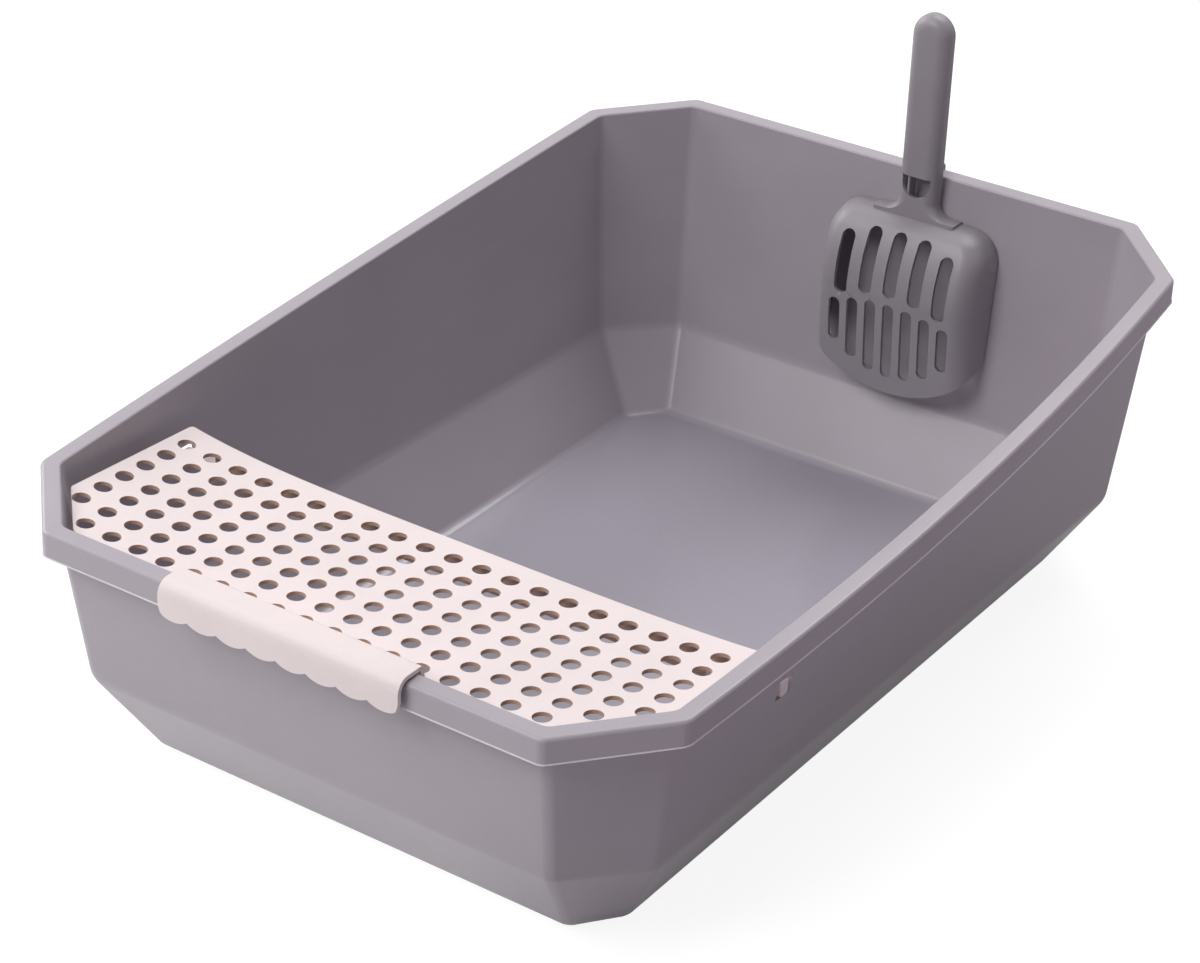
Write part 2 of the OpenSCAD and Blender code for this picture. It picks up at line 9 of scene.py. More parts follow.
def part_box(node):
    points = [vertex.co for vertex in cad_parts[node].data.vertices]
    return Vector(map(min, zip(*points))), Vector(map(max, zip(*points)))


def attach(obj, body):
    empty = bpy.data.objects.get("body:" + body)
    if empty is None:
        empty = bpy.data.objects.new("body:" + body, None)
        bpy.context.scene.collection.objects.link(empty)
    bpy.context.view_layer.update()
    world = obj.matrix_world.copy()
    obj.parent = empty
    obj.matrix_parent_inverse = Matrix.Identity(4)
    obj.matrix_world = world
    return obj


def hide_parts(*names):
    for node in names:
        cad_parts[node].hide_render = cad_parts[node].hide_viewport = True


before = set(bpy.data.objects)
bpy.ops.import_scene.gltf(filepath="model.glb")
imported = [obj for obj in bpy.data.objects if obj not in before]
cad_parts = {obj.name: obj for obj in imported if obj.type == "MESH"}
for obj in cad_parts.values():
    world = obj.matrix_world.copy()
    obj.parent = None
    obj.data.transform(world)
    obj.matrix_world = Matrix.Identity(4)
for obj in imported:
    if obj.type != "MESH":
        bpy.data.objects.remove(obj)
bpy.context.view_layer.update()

bl_info = {
    "name": "Litter Box with Entry Step and Scoop",
    "version": (1, 0, 0),
    "blender": (4, 5, 0),
    "location": "3D View > Sidebar > Litter Box",
    "description": "Moulds a litter box: the pan, the perforated entry step and the slotted scoop",
    "category": "Object",
}

PAN_LOW, PAN_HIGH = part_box("litter_pan")
STEP_LOW, STEP_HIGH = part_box("entry_step")
SCOOP_LOW, SCOOP_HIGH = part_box("litter_scoop")
REAR_RIM_Z = 0.176

# The body that a piece rides on, the node it stands for and its material slot
PAN_PART = ("pan", "litter_pan", "grey_plastic")
STEP_PART = ("step", "entry_step", "off_white_plastic")
SCOOP_PART = ("scoop", "litter_scoop", "scoop_plastic")


# ---------------------------------------------------------------- sizes and colours

class LitterPanSizes(bpy.types.PropertyGroup):
    half_width: FloatProperty(
        name="Half Width", description="Half of the rim's width between its straight ends",
        default=0.180, unit="LENGTH")
    half_length: FloatProperty(
        name="Half Length", description="Half of the rim's length",
        default=PAN_HIGH.y, unit="LENGTH")
    front_height: FloatProperty(
        name="Front Height", description="Height of the rim at the front",
        default=0.134, unit="LENGTH")
    rear_height: FloatProperty(
        name="Rear Height", description="Height of the rim at the rear",
        default=REAR_RIM_Z, unit="LENGTH")
    cut_x: FloatProperty(
        name="Corner Cut across", description="Corner cut of the rim along its width",
        default=0.043, unit="LENGTH")
    cut_y: FloatProperty(
        name="Corner Cut along", description="Corner cut of the rim along its length",
        default=0.044, unit="LENGTH")
    bow_left: FloatProperty(
        name="Left Bow", description="Outward bow of the left rim at its middle",
        default=-PAN_LOW.x - 0.180, unit="LENGTH")
    bow_right: FloatProperty(
        name="Right Bow", description="Outward bow of the right rim at its middle",
        default=PAN_HIGH.x - 0.180, unit="LENGTH")
    rim_width: FloatProperty(
        name="Rim Width", description="Width of the rim's flat top",
        default=0.0096, unit="LENGTH")
    skirt: FloatProperty(
        name="Skirt", description="Depth of the rim's turned-down skirt",
        default=0.0125, unit="LENGTH")
    bead: FloatProperty(
        name="Bead", description="How far the bead along the skirt's lower edge stands proud",
        default=0.0004, unit="LENGTH")
    thickness: FloatProperty(
        name="Thickness", description="Wall thickness of the pan",
        default=0.0026, unit="LENGTH")
    corner_radius: FloatProperty(
        name="Corner Radius", description="Radius of the upright corners",
        default=0.006, unit="LENGTH")
    belly_front: FloatProperty(
        name="Belly at the Front", description="Height of the bevel's top at the front",
        default=0.051, unit="LENGTH")
    belly_rear: FloatProperty(
        name="Belly at the Rear", description="Height of the bevel's top at the rear",
        default=0.044, unit="LENGTH")


class EntryStepSizes(bpy.types.PropertyGroup):
    plate_z: FloatProperty(
        name="Plate Height", description="Height of the plate at its last row of holes",
        default=0.1207, unit="LENGTH")
    thickness: FloatProperty(
        name="Plate Thickness", description="Thickness of the perforated plate",
        default=0.002, unit="LENGTH")
    tilt: FloatProperty(
        name="Plate Tilt", description="Rise of the plate towards the front",
        default=math.radians(2.2), unit="ROTATION")
    hole_diameter: FloatProperty(
        name="Hole", description="Diameter of the holes",
        default=0.0088, unit="LENGTH")
    pitch_x: FloatProperty(
        name="Pitch across", description="Spacing of the holes across the plate",
        default=0.0159, unit="LENGTH")
    pitch_y: FloatProperty(
        name="Pitch along", description="Spacing of the rows of holes",
        default=0.0144, unit="LENGTH")
    columns: IntProperty(name="Columns", description="Holes in a full row", default=20)
    rows: IntProperty(name="Rows", description="Rows of holes", default=7)
    scallops: IntProperty(
        name="Scallops", description="Lobes along the hook's lower edge", default=8)
    scallop_width: FloatProperty(
        name="Scallop", description="Width of one lobe", default=0.0165, unit="LENGTH")
    hook_thickness: FloatProperty(
        name="Hook Thickness", description="Thickness of the hook over the front rim",
        default=0.0022, unit="LENGTH")


class LitterScoopSizes(bpy.types.PropertyGroup):
    middle_x: FloatProperty(
        name="Place", description="Distance of the scoop from the pan's centre plane",
        default=(SCOOP_LOW.x + SCOOP_HIGH.x) / 2, unit="LENGTH")
    thickness: FloatProperty(
        name="Thickness", description="Wall thickness of the scoop",
        default=0.0022, unit="LENGTH")
    bowl_height: FloatProperty(
        name="Bowl Height", description="Height of the bowl",
        default=0.153 - SCOOP_LOW.z, unit="LENGTH")
    slot_width: FloatProperty(
        name="Lower Slots", description="Width of a lower slot", default=0.007, unit="LENGTH")
    upper_slot_width: FloatProperty(
        name="Upper Slots", description="Width of an upper slot", default=0.0082, unit="LENGTH")
    handle_width: FloatProperty(
        name="Handle Width", description="Width of the handle", default=0.0225, unit="LENGTH")
    handle_depth: FloatProperty(
        name="Handle Depth", description="Depth of the handle", default=0.0095, unit="LENGTH")


class LitterBoxColours(bpy.types.PropertyGroup):
    pan: FloatVectorProperty(
        name="Pan", description="Colour of the pan's plastic", subtype="COLOR",
        default=(0.410, 0.368, 0.412), min=0.0, max=1.0)
    floor: FloatVectorProperty(
        name="Floor", description="Slightly cooler colour of the pan's polished floor",
        subtype="COLOR", default=(0.398, 0.376, 0.433), min=0.0, max=1.0)
    # Painted highlight: the bead's pale colour stands in for the light caught by the skirt's lower
    # edge
    bead: FloatVectorProperty(
        name="Bead", description="Pale painted highlight on the thin bead along the skirt's lower edge",
        subtype="COLOR", default=(0.74, 0.71, 0.75), min=0.0, max=1.0)
    step: FloatVectorProperty(
        name="Step", description="Colour of the step's plastic", subtype="COLOR",
        default=(0.825, 0.718, 0.724), min=0.0, max=1.0)
    # Painted shade: the holes' walls are darker and amber to stand in for shade and light glowing
    # through the plastic
    holes: FloatVectorProperty(
        name="Holes", description="Painted shade and amber glow on the thin walls in the step's holes",
        subtype="COLOR", default=(0.60, 0.40, 0.31), min=0.0, max=1.0)
    # Painted shade: the flange's back is darker and amber to stand in for its shade and light
    # glowing through the plastic
    flange_painted_glow: FloatVectorProperty(
        name="Flange Back", description="Painted shade and amber glow on the flange's shaded side",
        subtype="COLOR", default=(0.76, 0.58, 0.49), min=0.0, max=1.0)
    scoop: FloatVectorProperty(
        name="Scoop", description="Colour of the scoop's plastic", subtype="COLOR",
        default=(0.300, 0.275, 0.302), min=0.0, max=1.0)
    # Painted shade: the scoop's inner faces are made dark to stand in for the deep shade inside the
    # bowl
    scoop_painted_shade: FloatVectorProperty(
        name="Scoop Inside", description="Painted shade on the scoop's inner faces",
        subtype="COLOR", default=(0.090, 0.080, 0.086), min=0.0, max=1.0)


class StudioLight(bpy.types.PropertyGroup):
    front_power: FloatProperty(
        name="Front Light", description="Power of the soft light at the front left, in watts",
        default=31.0)
    left_power: FloatProperty(
        name="Left Light", description="Power of the soft light on the left, in watts",
        default=24.0)
    rear_power: FloatProperty(
        name="Rear Light", description="Power of the soft light over the rear, in watts",
        default=28.0)
    ambient: FloatProperty(
        name="Ambient", description="Strength of the light from all round", default=0.14)


# ---------------------------------------------------------------- shader nodes

POLYPROPYLENE_IOR = 1.49
WHITE = (1.0, 1.0, 1.0, 1.0)
BLACK = (0.0, 0.0, 0.0, 1.0)


class Value:
    """A socket in a shader tree. Maths on it adds Math nodes."""

    def __init__(self, nodes, socket):
        self.nodes = nodes
        self.socket = socket

    def __add__(self, other):
        return self.nodes.maths("ADD", self, other)

    __radd__ = __add__

    def __sub__(self, other):
        return self.nodes.maths("SUBTRACT", self, other)

    def __mul__(self, other):
        return self.nodes.maths("MULTIPLY", self, other)


class Nodes:
    """The nodes of a material or a world, added one by one."""

    def __init__(self, tree):
        self.tree = tree

    def feed(self, node, socket, value):
        """Links or sets one socket of a node."""
        if isinstance(value, Value):
            self.tree.links.new(value.socket, node.inputs[socket])
        else:
            node.inputs[socket].default_value = value

    def add(self, kind, settings, values, output=0):
        """Adds one node: its settings first, then the values or links of its sockets."""
        node = self.tree.nodes.new(kind)
        for name, setting in settings.items():
            if name == "stops":
                for stop, (place, colour) in zip(node.color_ramp.elements, setting):
                    stop.position = place
                    stop.color = colour
            else:
                setattr(node, name, setting)
        for socket, value in values.items():
            self.feed(node, socket, value)
        return Value(self, node.outputs[output])

    def maths(self, operation, first, second):
        """Result of one Math node."""
        return self.add("ShaderNodeMath", {"operation": operation}, {0: first, 1: second})

    def mix(self, factor, first, second):
        """Mix of two colours."""
        return self.add("ShaderNodeMix", {"data_type": "RGBA"}, {0: factor, 6: first, 7: second}, 2)

    def fade(self, value, start, end, first=1.0, last=0.0):
        """Goes from first to last while the value goes from start to end."""
        return self.add("ShaderNodeMapRange", {}, {0: value, 1: start, 2: end, 3: first, 4: last})

    def seen_by(self, *rays):
        """1 for light rays of the given kinds, and 0 for all others."""
        found = self.add("ShaderNodeLightPath", {}, {}, rays[0])
        for ray in rays[1:]:
            found = self.maths("MAXIMUM", found, self.add("ShaderNodeLightPath", {}, {}, ray))
        return found

    def finish_with(self, output, share, first, second):
        """Mixes two shaders into the tree's output."""
        mixed = self.add("ShaderNodeMixShader", {}, {0: share, 1: first, 2: second})
        self.feed(self.tree.nodes[output], "Surface", mixed)


class Finish(Nodes):
    """A material that is built round one Principled shader."""

    def __init__(self, name):
        self.material = bpy.data.materials.new(name)
        self.material.use_nodes = True
        super().__init__(self.material.node_tree)
        self.shader = self.tree.nodes["Principled BSDF"]
        self.place = self.add("ShaderNodeTexCoord", {}, {}, "Object")

    def paint(self, socket, value):
        """Links or sets one socket of the Principled shader."""
        self.feed(self.shader, socket, value)

    def ramp(self, value, start, end):
        """Grey ramp from black at one place to white at another."""
        stops = ((start, BLACK), (end, WHITE))
        return self.add("ShaderNodeValToRGB", {"stops": stops}, {0: value})

    def noise(self, scale, detail=2.0, stretch=None, roughness=0.5):
        """Noise of a feature size of about 1 / scale metres, squeezed along each axis."""
        place = self.place
        if stretch:
            place = self.add("ShaderNodeMapping", {}, {"Vector": place, "Scale": stretch})
        return self.add("ShaderNodeTexNoise", {}, {
            "Vector": place, "Scale": scale, "Detail": detail, "Roughness": roughness})

    def bump(self, height, strength, distance, **below):
        """Bump of a given height in metres, on top of the one below."""
        return self.add("ShaderNodeBump", {}, {
            "Strength": strength, "Distance": distance, "Height": height, **below})


def shade(colour, factor=1.0):
    """The colour made lighter or darker, with full alpha."""
    return tuple(min(1.0, part * factor) for part in colour) + (1.0,)


def moulded_plastic(name, colour, roughness, grain, polish=None):
    """Injection-moulded plastic: cloudy colour, satin skin with fine grain and faint flow lines.

    polish is the height up to which it is polished, the height from which it isn't, how much
    smoother it is there, and its colour there.
    """
    finish = Finish(name)
    cloud = finish.noise(14.0, 3.0)
    flow = finish.noise(30.0, 4.0, (1.0, 0.22, 1.6))
    speck = finish.noise(900.0)
    tone = finish.ramp(cloud * 0.6 + flow * 0.4, 0.3, 0.7)
    base = finish.mix(tone, shade(colour, 0.955), shade(colour, 1.045))
    fleck = finish.ramp(speck, 0.45, 0.75)
    scuff = finish.ramp(finish.noise(55.0, 6.0, (1.0, 9.0, 1.0), 0.65), 0.56, 0.70)
    rough = roughness + (cloud - 0.5) * 0.10 + (speck - 0.5) * 0.10 + scuff * 0.05
    if polish:
        polished_to, dull_from, smoother, polished_colour = polish
        height = finish.add("ShaderNodeSeparateXYZ", {}, {0: finish.place}, "Z")
        low = finish.fade(height, polished_to, dull_from)
        base = finish.mix(low, base, polished_colour)
        rough = rough - low * smoother
    finish.paint("Base Color", finish.mix(fleck * 0.22, base, shade(colour, 0.86)))
    finish.paint("Roughness", rough)
    finish.paint("IOR", POLYPROPYLENE_IOR)
    skin = finish.bump(finish.noise(grain, 3.0), 0.12, 0.0002)
    finish.paint("Normal", finish.bump(finish.noise(22.0, 1.0), 0.25, 0.0006, Normal=skin))
    return finish.material


# ---------------------------------------------------------------- mesh helpers

def verts_in(made):
    return [item for item in made["geom"] if isinstance(item, bmesh.types.BMVert)]


def edge_between(first, second):
    return next(edge for edge in first.link_edges if edge.other_vert(first) is second)


def open_chain(mesh, places):
    """Starts a shape with a chain of vertices."""
    chain = [mesh.verts.new(place) for place in places]
    for first, second in zip(chain, chain[1:]):
        mesh.edges.new((first, second))
    return chain


def extrude_on(mesh, chain, places, closed=False):
    """Extrudes a chain or ring of vertices to new places and returns the new one."""
    pairs = list(zip(chain, chain[1:] + chain[:1] if closed else chain[1:]))
    made = bmesh.ops.extrude_edge_only(mesh, edges=[edge_between(a, b) for a, b in pairs])
    fresh = set(verts_in(made))
    following = []
    for vertex, place in zip(chain, places):
        ahead = [edge.other_vert(vertex) for edge in vertex.link_edges]
        partner = next(other for other in ahead if other in fresh)
        partner.co = place
        following.append(partner)
    return following


def round_off(mesh, geom, width, segments, affect="EDGES"):
    """Rounds edges, or with VERTICES the corners of a chain that has no faces yet."""
    bmesh.ops.bevel(
        mesh, geom=geom, offset=width, offset_type="OFFSET", segments=segments, profile=0.5,
        affect=affect, material=-1, clamp_overlap=False, loop_slide=True)


def in_order(start):
    """Vertices of an open chain, from one end to the other."""
    chain = [start]
    while True:
        ahead = [edge.other_vert(chain[-1]) for edge in chain[-1].link_edges]
        ahead = [vertex for vertex in ahead if vertex not in chain[-2:]]
        if not ahead:
            return chain
        chain.append(ahead[0])


def slice_mesh(mesh, place, normal, faces=None, clear=False):
    """Cuts along a plane, and with clear takes away what lies in front of it."""
    if faces is None:
        geom = mesh.verts[:] + mesh.edges[:] + mesh.faces[:]
    else:
        edges = {edge for face in faces for edge in face.edges}
        corners = {vertex for face in faces for vertex in face.verts}
        geom = list(corners) + list(edges) + list(faces)
    bmesh.ops.bisect_plane(
        mesh, geom=geom, dist=1e-7, plane_co=place, plane_no=normal, clear_outer=clear)


def face_out(mesh, direction, face=None):
    """Turns all faces alike, so that the given or the outermost one looks in the direction."""
    direction = Vector(direction)
    if face is None:
        face = max(mesh.faces, key=lambda near: near.calc_center_median().dot(direction))
    bmesh.ops.recalc_face_normals(mesh, faces=mesh.faces[:])
    face.normal_update()
    if face.normal.dot(direction) < 0:
        bmesh.ops.reverse_faces(mesh, faces=mesh.faces[:])


def move(mesh, way, verts=None):
    """Moves some vertices, or all of them."""
    bmesh.ops.translate(mesh, vec=way, verts=verts or mesh.verts[:])


def new_object(mesh, name):
    """Turns a bmesh into an object of the scene."""
    data = bpy.data.meshes.new(name)
    mesh.to_mesh(data)
    mesh.free()
    thing = bpy.data.objects.new(name, data)
    bpy.context.scene.collection.objects.link(thing)
    return thing


def make_piece(mesh, name, materials, part):
    """Turns a bmesh into a piece that rides on a body and stands for a node."""
    body, node, slot = part
    piece = new_object(mesh, name)
    piece.data.shade_smooth()
    for material in materials:
        piece.data.materials.append(material)
    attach(piece, body)
    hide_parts(node)
    return piece


def thicken(piece, thickness, inside=0, rim=0):
    """Gives a sheet its thickness behind its face. Its inside and rim may use later slots."""
    solid = piece.modifiers.new("Thickness", "SOLIDIFY")
    solid.thickness = thickness
    solid.offset = -1.0
    solid.use_even_offset = True
    solid.material_offset = inside
    solid.material_offset_rim = rim


def soften(piece, width, segments=2):
    """Rounds all sharp edges a little and keeps flat faces flat."""
    bevel = piece.modifiers.new("Soft Edges", "BEVEL")
    bevel.width = width
    bevel.segments = segments
    bevel.limit_method = "ANGLE"
    bevel.angle_limit = math.radians(50.0)
    bevel.use_clamp_overlap = True
    normals = piece.modifiers.new("Flat Faces", "WEIGHTED_NORMAL")
    normals.keep_sharp = False
    normals.weight = 100


def opening(mesh, place, radius, segments, depth, shape):
    """A closed round shape that runs back from a place, for an opening that it cuts.

    shape moves each corner of its front from the circle to where it belongs.
    """
    made = bmesh.ops.create_circle(
        mesh, cap_ends=True, segments=segments, radius=radius,
        matrix=Matrix.Translation(place) @ Matrix.Rotation(math.pi / 2, 4, "X"))["verts"]
    for vertex in made:
        shape(vertex.co)
    moved = bmesh.ops.extrude_face_region(mesh, geom=[made[0].link_faces[0]])
    move(mesh, (0, depth, 0), verts_in(moved))


def cut_out(piece, mesh):
    """Cuts closed shapes out of a piece and keeps the result as its mesh."""
    bmesh.ops.recalc_face_normals(mesh, faces=mesh.faces[:])
    cutter = new_object(mesh, "cutter")
    cut = piece.modifiers.new("Cut", "BOOLEAN")
    cut.operation = "DIFFERENCE"
    cut.solver = "EXACT"
    cut.object = cutter
    graph = bpy.context.evaluated_depsgraph_get()
    cut_mesh = bpy.data.meshes.new_from_object(piece.evaluated_get(graph))
    piece.modifiers.clear()
    cut_mesh.name = piece.name
    piece.data = cut_mesh
    cutter_mesh = cutter.data
    bpy.data.objects.remove(cutter)
    bpy.data.meshes.remove(cutter_mesh)
    cut_mesh.shade_smooth()


# ---------------------------------------------------------------- the pan

HALF_CORNER_TURN = math.radians(22.5)
# How far the walls and the bevel lean in, at the sides and at the ends
WALL_LEAN = (0.011, 0.012)
BEVEL_LEAN = (0.027, 0.029)
# Corner cuts across and along: outside at the belly and at the floor, and how far inside the
# floor's cut lies
BELLY_CUT = (0.032, 0.0355)
FLOOR_CUT = (0.016, 0.0215)
FLOOR_CUT_INSET = 0.0016
FLOOR_MIDDLE_Y = 0.003
# The belly's inner edge lies a little over its outer one
BELLY_RISE = 0.001
# Heights over the skirt's edge at which the bead's upright face and the bead end
BEAD_FACE, BEAD_TOP = 0.0002, 0.0006
# How much the rim's outer and inner edge, the belly and the floor's edge are rounded
OUTER_ROUND, INNER_ROUND, BELLY_ROUND, FLOOR_ROUND = 0.0018, 0.0012, 0.0030, 0.0040
# Depth under the rim at which the bow of the walls is complete
BOW_DEPTH = 0.0022
STATION_PITCH = 0.0235
# The windows for the step's lugs: their middle across, and their lowest and highest corner
WINDOW_X = 0.172
WINDOW_LOW = Vector((-0.012, -0.1395, 0.1023))
WINDOW_HIGH = Vector((0.012, -0.1285, 0.1129))
# The floor is polished up to the first of these heights, and not from the second
POLISHED_TO, DULL_FROM, SMOOTHER = 0.0031, 0.0050, 0.21


def along(pan, y, front, rear):
    """A height that rises evenly from the pan's front to its rear."""
    return front + (rear - front) * (y + pan.half_length) / (2 * pan.half_length)


def moved_in(cut, inset):
    """Corner cut that is left after the outline has moved in."""
    slant = math.hypot(*cut)
    return (cut[0] - inset * (1 - (slant - cut[0]) / cut[1]),
            cut[1] - inset * (1 - (slant - cut[1]) / cut[0]))


def cut_rectangle(half_x, half_y, cut, height, middle=0.0):
    """Eight corners of a cut rectangle, counter-clockwise from the front left."""
    front, rear = middle - half_y, middle + half_y
    corners = [
        (cut[0] - half_x, front), (half_x - cut[0], front),
        (half_x, front + cut[1]), (half_x, rear - cut[1]),
        (half_x - cut[0], rear), (cut[0] - half_x, rear),
        (-half_x, rear - cut[1]), (-half_x, front + cut[1])]
    return [Vector((x, y, height(y))) for x, y in corners]


def rim_inset(pan, point):
    """Distance of a point inside the straight sides of the rim's outline."""
    ahead_x = pan.half_width - abs(point.x)
    ahead_y = pan.half_length - abs(point.y)
    slant = math.hypot(pan.cut_x, pan.cut_y)
    corner = (ahead_x * pan.cut_y + ahead_y * pan.cut_x - pan.cut_x * pan.cut_y) / slant
    return min(ahead_x, ahead_y, corner)


class LITTERBOX_OT_mould_pan(bpy.types.Operator):
    """Mould the pan: rim, leaning walls, bevel, floor and the windows for the step's lugs"""
    bl_idname = "litter_box.mould_pan"
    bl_label = "Mould Pan"

    def execute(self, context):
        pan = context.scene.litter_pan
        colours = context.scene.litter_colours
        mesh = bmesh.new()

        def rim(y):
            return along(pan, y, pan.front_height, pan.rear_height)

        def skirt_edge(y):
            return rim(y) - pan.skirt

        def belly(y):
            return along(pan, y, pan.belly_front, pan.belly_rear)

        self.loft(mesh, pan, rim, skirt_edge, belly)

        # Stations along the sides carry their outward bow
        straight = pan.half_length - pan.cut_y
        for station in range(-9, 10):
            slice_mesh(mesh, (0, station * STATION_PITCH, 0), (0, 1, 0))
        for vertex in mesh.verts:
            x, y, z = vertex.co
            share = 1.0
            if rim_inset(pan, vertex.co) > pan.rim_width / 2:
                share = (z - belly(y)) / (rim(y) - BOW_DEPTH - belly(y))
                share = min(1.0, max(0.0, share))
            bow = pan.bow_right if x > 0 else -pan.bow_left
            vertex.co.x += share * bow * max(0.0, 1 - (y / straight) ** 2)

        for side in (-1, 1):
            self.open_window(mesh, side)
        # The bead's faces take the second slot, whose pale colour is a painted highlight
        for face in mesh.faces:
            if all(-1e-4 < v.co.z - skirt_edge(v.co.y) < BEAD_TOP + 5e-5 for v in face.verts):
                face.material_index = 1
        materials = (
            moulded_plastic(
                "grey moulded plastic", colours.pan, 0.35, 1500.0,
                (POLISHED_TO, DULL_FROM, SMOOTHER, shade(colours.floor))),
            moulded_plastic("bead plastic with painted highlight", colours.bead, 0.30, 1500.0))
        piece = make_piece(mesh, "pan_moulding", materials, PAN_PART)
        thicken(piece, pan.thickness)
        soften(piece, 0.0005)
        return {"FINISHED"}

    @staticmethod
    def loft(mesh, pan, rim, skirt_edge, belly):
        """The sheet of the pan's upper face, from the skirt's edge over the rim to the floor."""
        belly_x = pan.half_width - pan.rim_width - WALL_LEAN[0]
        belly_y = pan.half_length - pan.rim_width - WALL_LEAN[1]

        def inner_belly(y):
            return belly(y) + BELLY_RISE

        def floor(_y):
            return pan.thickness

        def outline(inset, height):
            return cut_rectangle(
                pan.half_width - inset, pan.half_length - inset,
                moved_in((pan.cut_x, pan.cut_y), inset), height)

        # The skirt's face is set in a little above the bead along its lower edge
        levels = [
            outline(0.0, skirt_edge),
            outline(0.0, lambda y: skirt_edge(y) + BEAD_FACE),
            outline(pan.bead, lambda y: skirt_edge(y) + BEAD_TOP),
            outline(pan.bead, rim),
            outline(pan.rim_width, rim),
            cut_rectangle(belly_x, belly_y, moved_in(BELLY_CUT, pan.thickness), inner_belly),
            cut_rectangle(
                belly_x - BEVEL_LEAN[0], belly_y - BEVEL_LEAN[1],
                moved_in(FLOOR_CUT, FLOOR_CUT_INSET), floor, FLOOR_MIDDLE_Y)]
        ring = open_chain(mesh, levels[0])
        mesh.edges.new((ring[-1], ring[0]))
        corner_edges = []
        for level in levels[1:]:
            following = extrude_on(mesh, ring, level, closed=True)
            corner_edges += [edge_between(a, b) for a, b in zip(ring, following)]
            ring = following
        face_out(mesh, (0, 0, 1), mesh.faces.new(ring))
        round_off(mesh, corner_edges, pan.corner_radius * math.tan(HALF_CORNER_TURN), 7)

        def edges_at(height, nearest=-1.0, furthest=1.0):
            """Bent edges at a height, within a range of distances inside the rim's outline."""
            found = []
            for edge in mesh.edges:
                if len(edge.link_faces) != 2 or edge.calc_face_angle(0.0) < 0.15:
                    continue
                middle = (edge.verts[0].co + edge.verts[1].co) / 2
                level = all(abs(v.co.z - height(v.co.y)) < 2e-5 for v in edge.verts)
                if level and nearest < rim_inset(pan, middle) < furthest:
                    found.append(edge)
            return found

        round_off(mesh, edges_at(rim, -0.004, 0.004), OUTER_ROUND, 4)
        round_off(mesh, edges_at(rim, 0.006, 0.014), INNER_ROUND, 3)
        round_off(mesh, edges_at(inner_belly), BELLY_ROUND, 5)
        round_off(mesh, edges_at(floor), FLOOR_ROUND, 5)

    @staticmethod
    def open_window(mesh, side):
        """Opens the window in one side wall, round the step's lug."""
        middle = Vector((side * WINDOW_X, 0.0, 0.0))
        low, high = middle + WINDOW_LOW, middle + WINDOW_HIGH

        def inside(point, margin):
            return all(low[i] - margin[i] < point[i] < high[i] + margin[i] for i in range(3))

        def beside(face):
            near = any(inside(v.co, (0.0, 0.03, 0.09)) for v in face.verts)
            return near and abs(face.normal.x) > 0.8

        for axis in (1, 2):
            normal = Vector((0, axis == 1, axis == 2))
            for place in (low, high):
                slice_mesh(mesh, place, normal, [face for face in mesh.faces if beside(face)])
        shut = [f for f in mesh.faces if inside(f.calc_center_median(), (0.0, 0.0, 0.0))]
        if not shut:
            raise RuntimeError("the window found no wall to open")
        bmesh.ops.delete(mesh, geom=shut, context="FACES")


# ---------------------------------------------------------------- the entry step

# The middle of the step and the last row of holes
STEP_X = 0.002
LAST_ROW_Y = -0.1526
# Borders of the plate, measured from the pan's middle and from the last row of holes
PLATE_LEFT, PLATE_RIGHT = -0.1605, 0.1645
PLATE_FRONT, PLATE_REAR = -0.0949, 0.0146
CUT_LEFT, CUT_RIGHT = 0.026, 0.028
REAR_CORNER_RADIUS, FRONT_CORNER_RADIUS = 0.0025, 0.0016
# Rise of the dished plate at its left and right, at the distance of its half width
DISH_LEFT, DISH_RIGHT, DISH_HALF_WIDTH = 0.007, 0.003, 0.1625
HOLE_CORNERS = 24
# The two dents that the mould leaves in the plate's top
DENT_X, DENT_Y, DENT_DEPTH = 0.103, 0.0109, 0.0006
DENT_REACH = Vector((0.0018, 0.0016, 0.0))
# The flange's outer face and lower edge, and how far under the plate's top it ends
FLANGE_Y, FLANGE_LOW, FLANGE_DROP = -0.13805, 0.1007, 0.0012
FLANGE_THICKNESS, FLANGE_HALF_WIDTH = 0.0022, 0.1465
# The axis of the lugs, their radius and where they are flatted
LUG_Y, LUG_Z, LUG_RADIUS = -0.134, 0.107, 0.0045
LUG_HALF_LENGTH, LUG_OVER, LUG_UNDER = 0.0032, 0.0032, 0.0041
# The blocks at the flange's ends, and how deep a lug starts in its block
BLOCK_SIZE = (0.010, 0.0131, 0.0088)
BLOCK_INNER, BLOCK_Y = 0.1365, -0.13720
LUG_START = 0.003


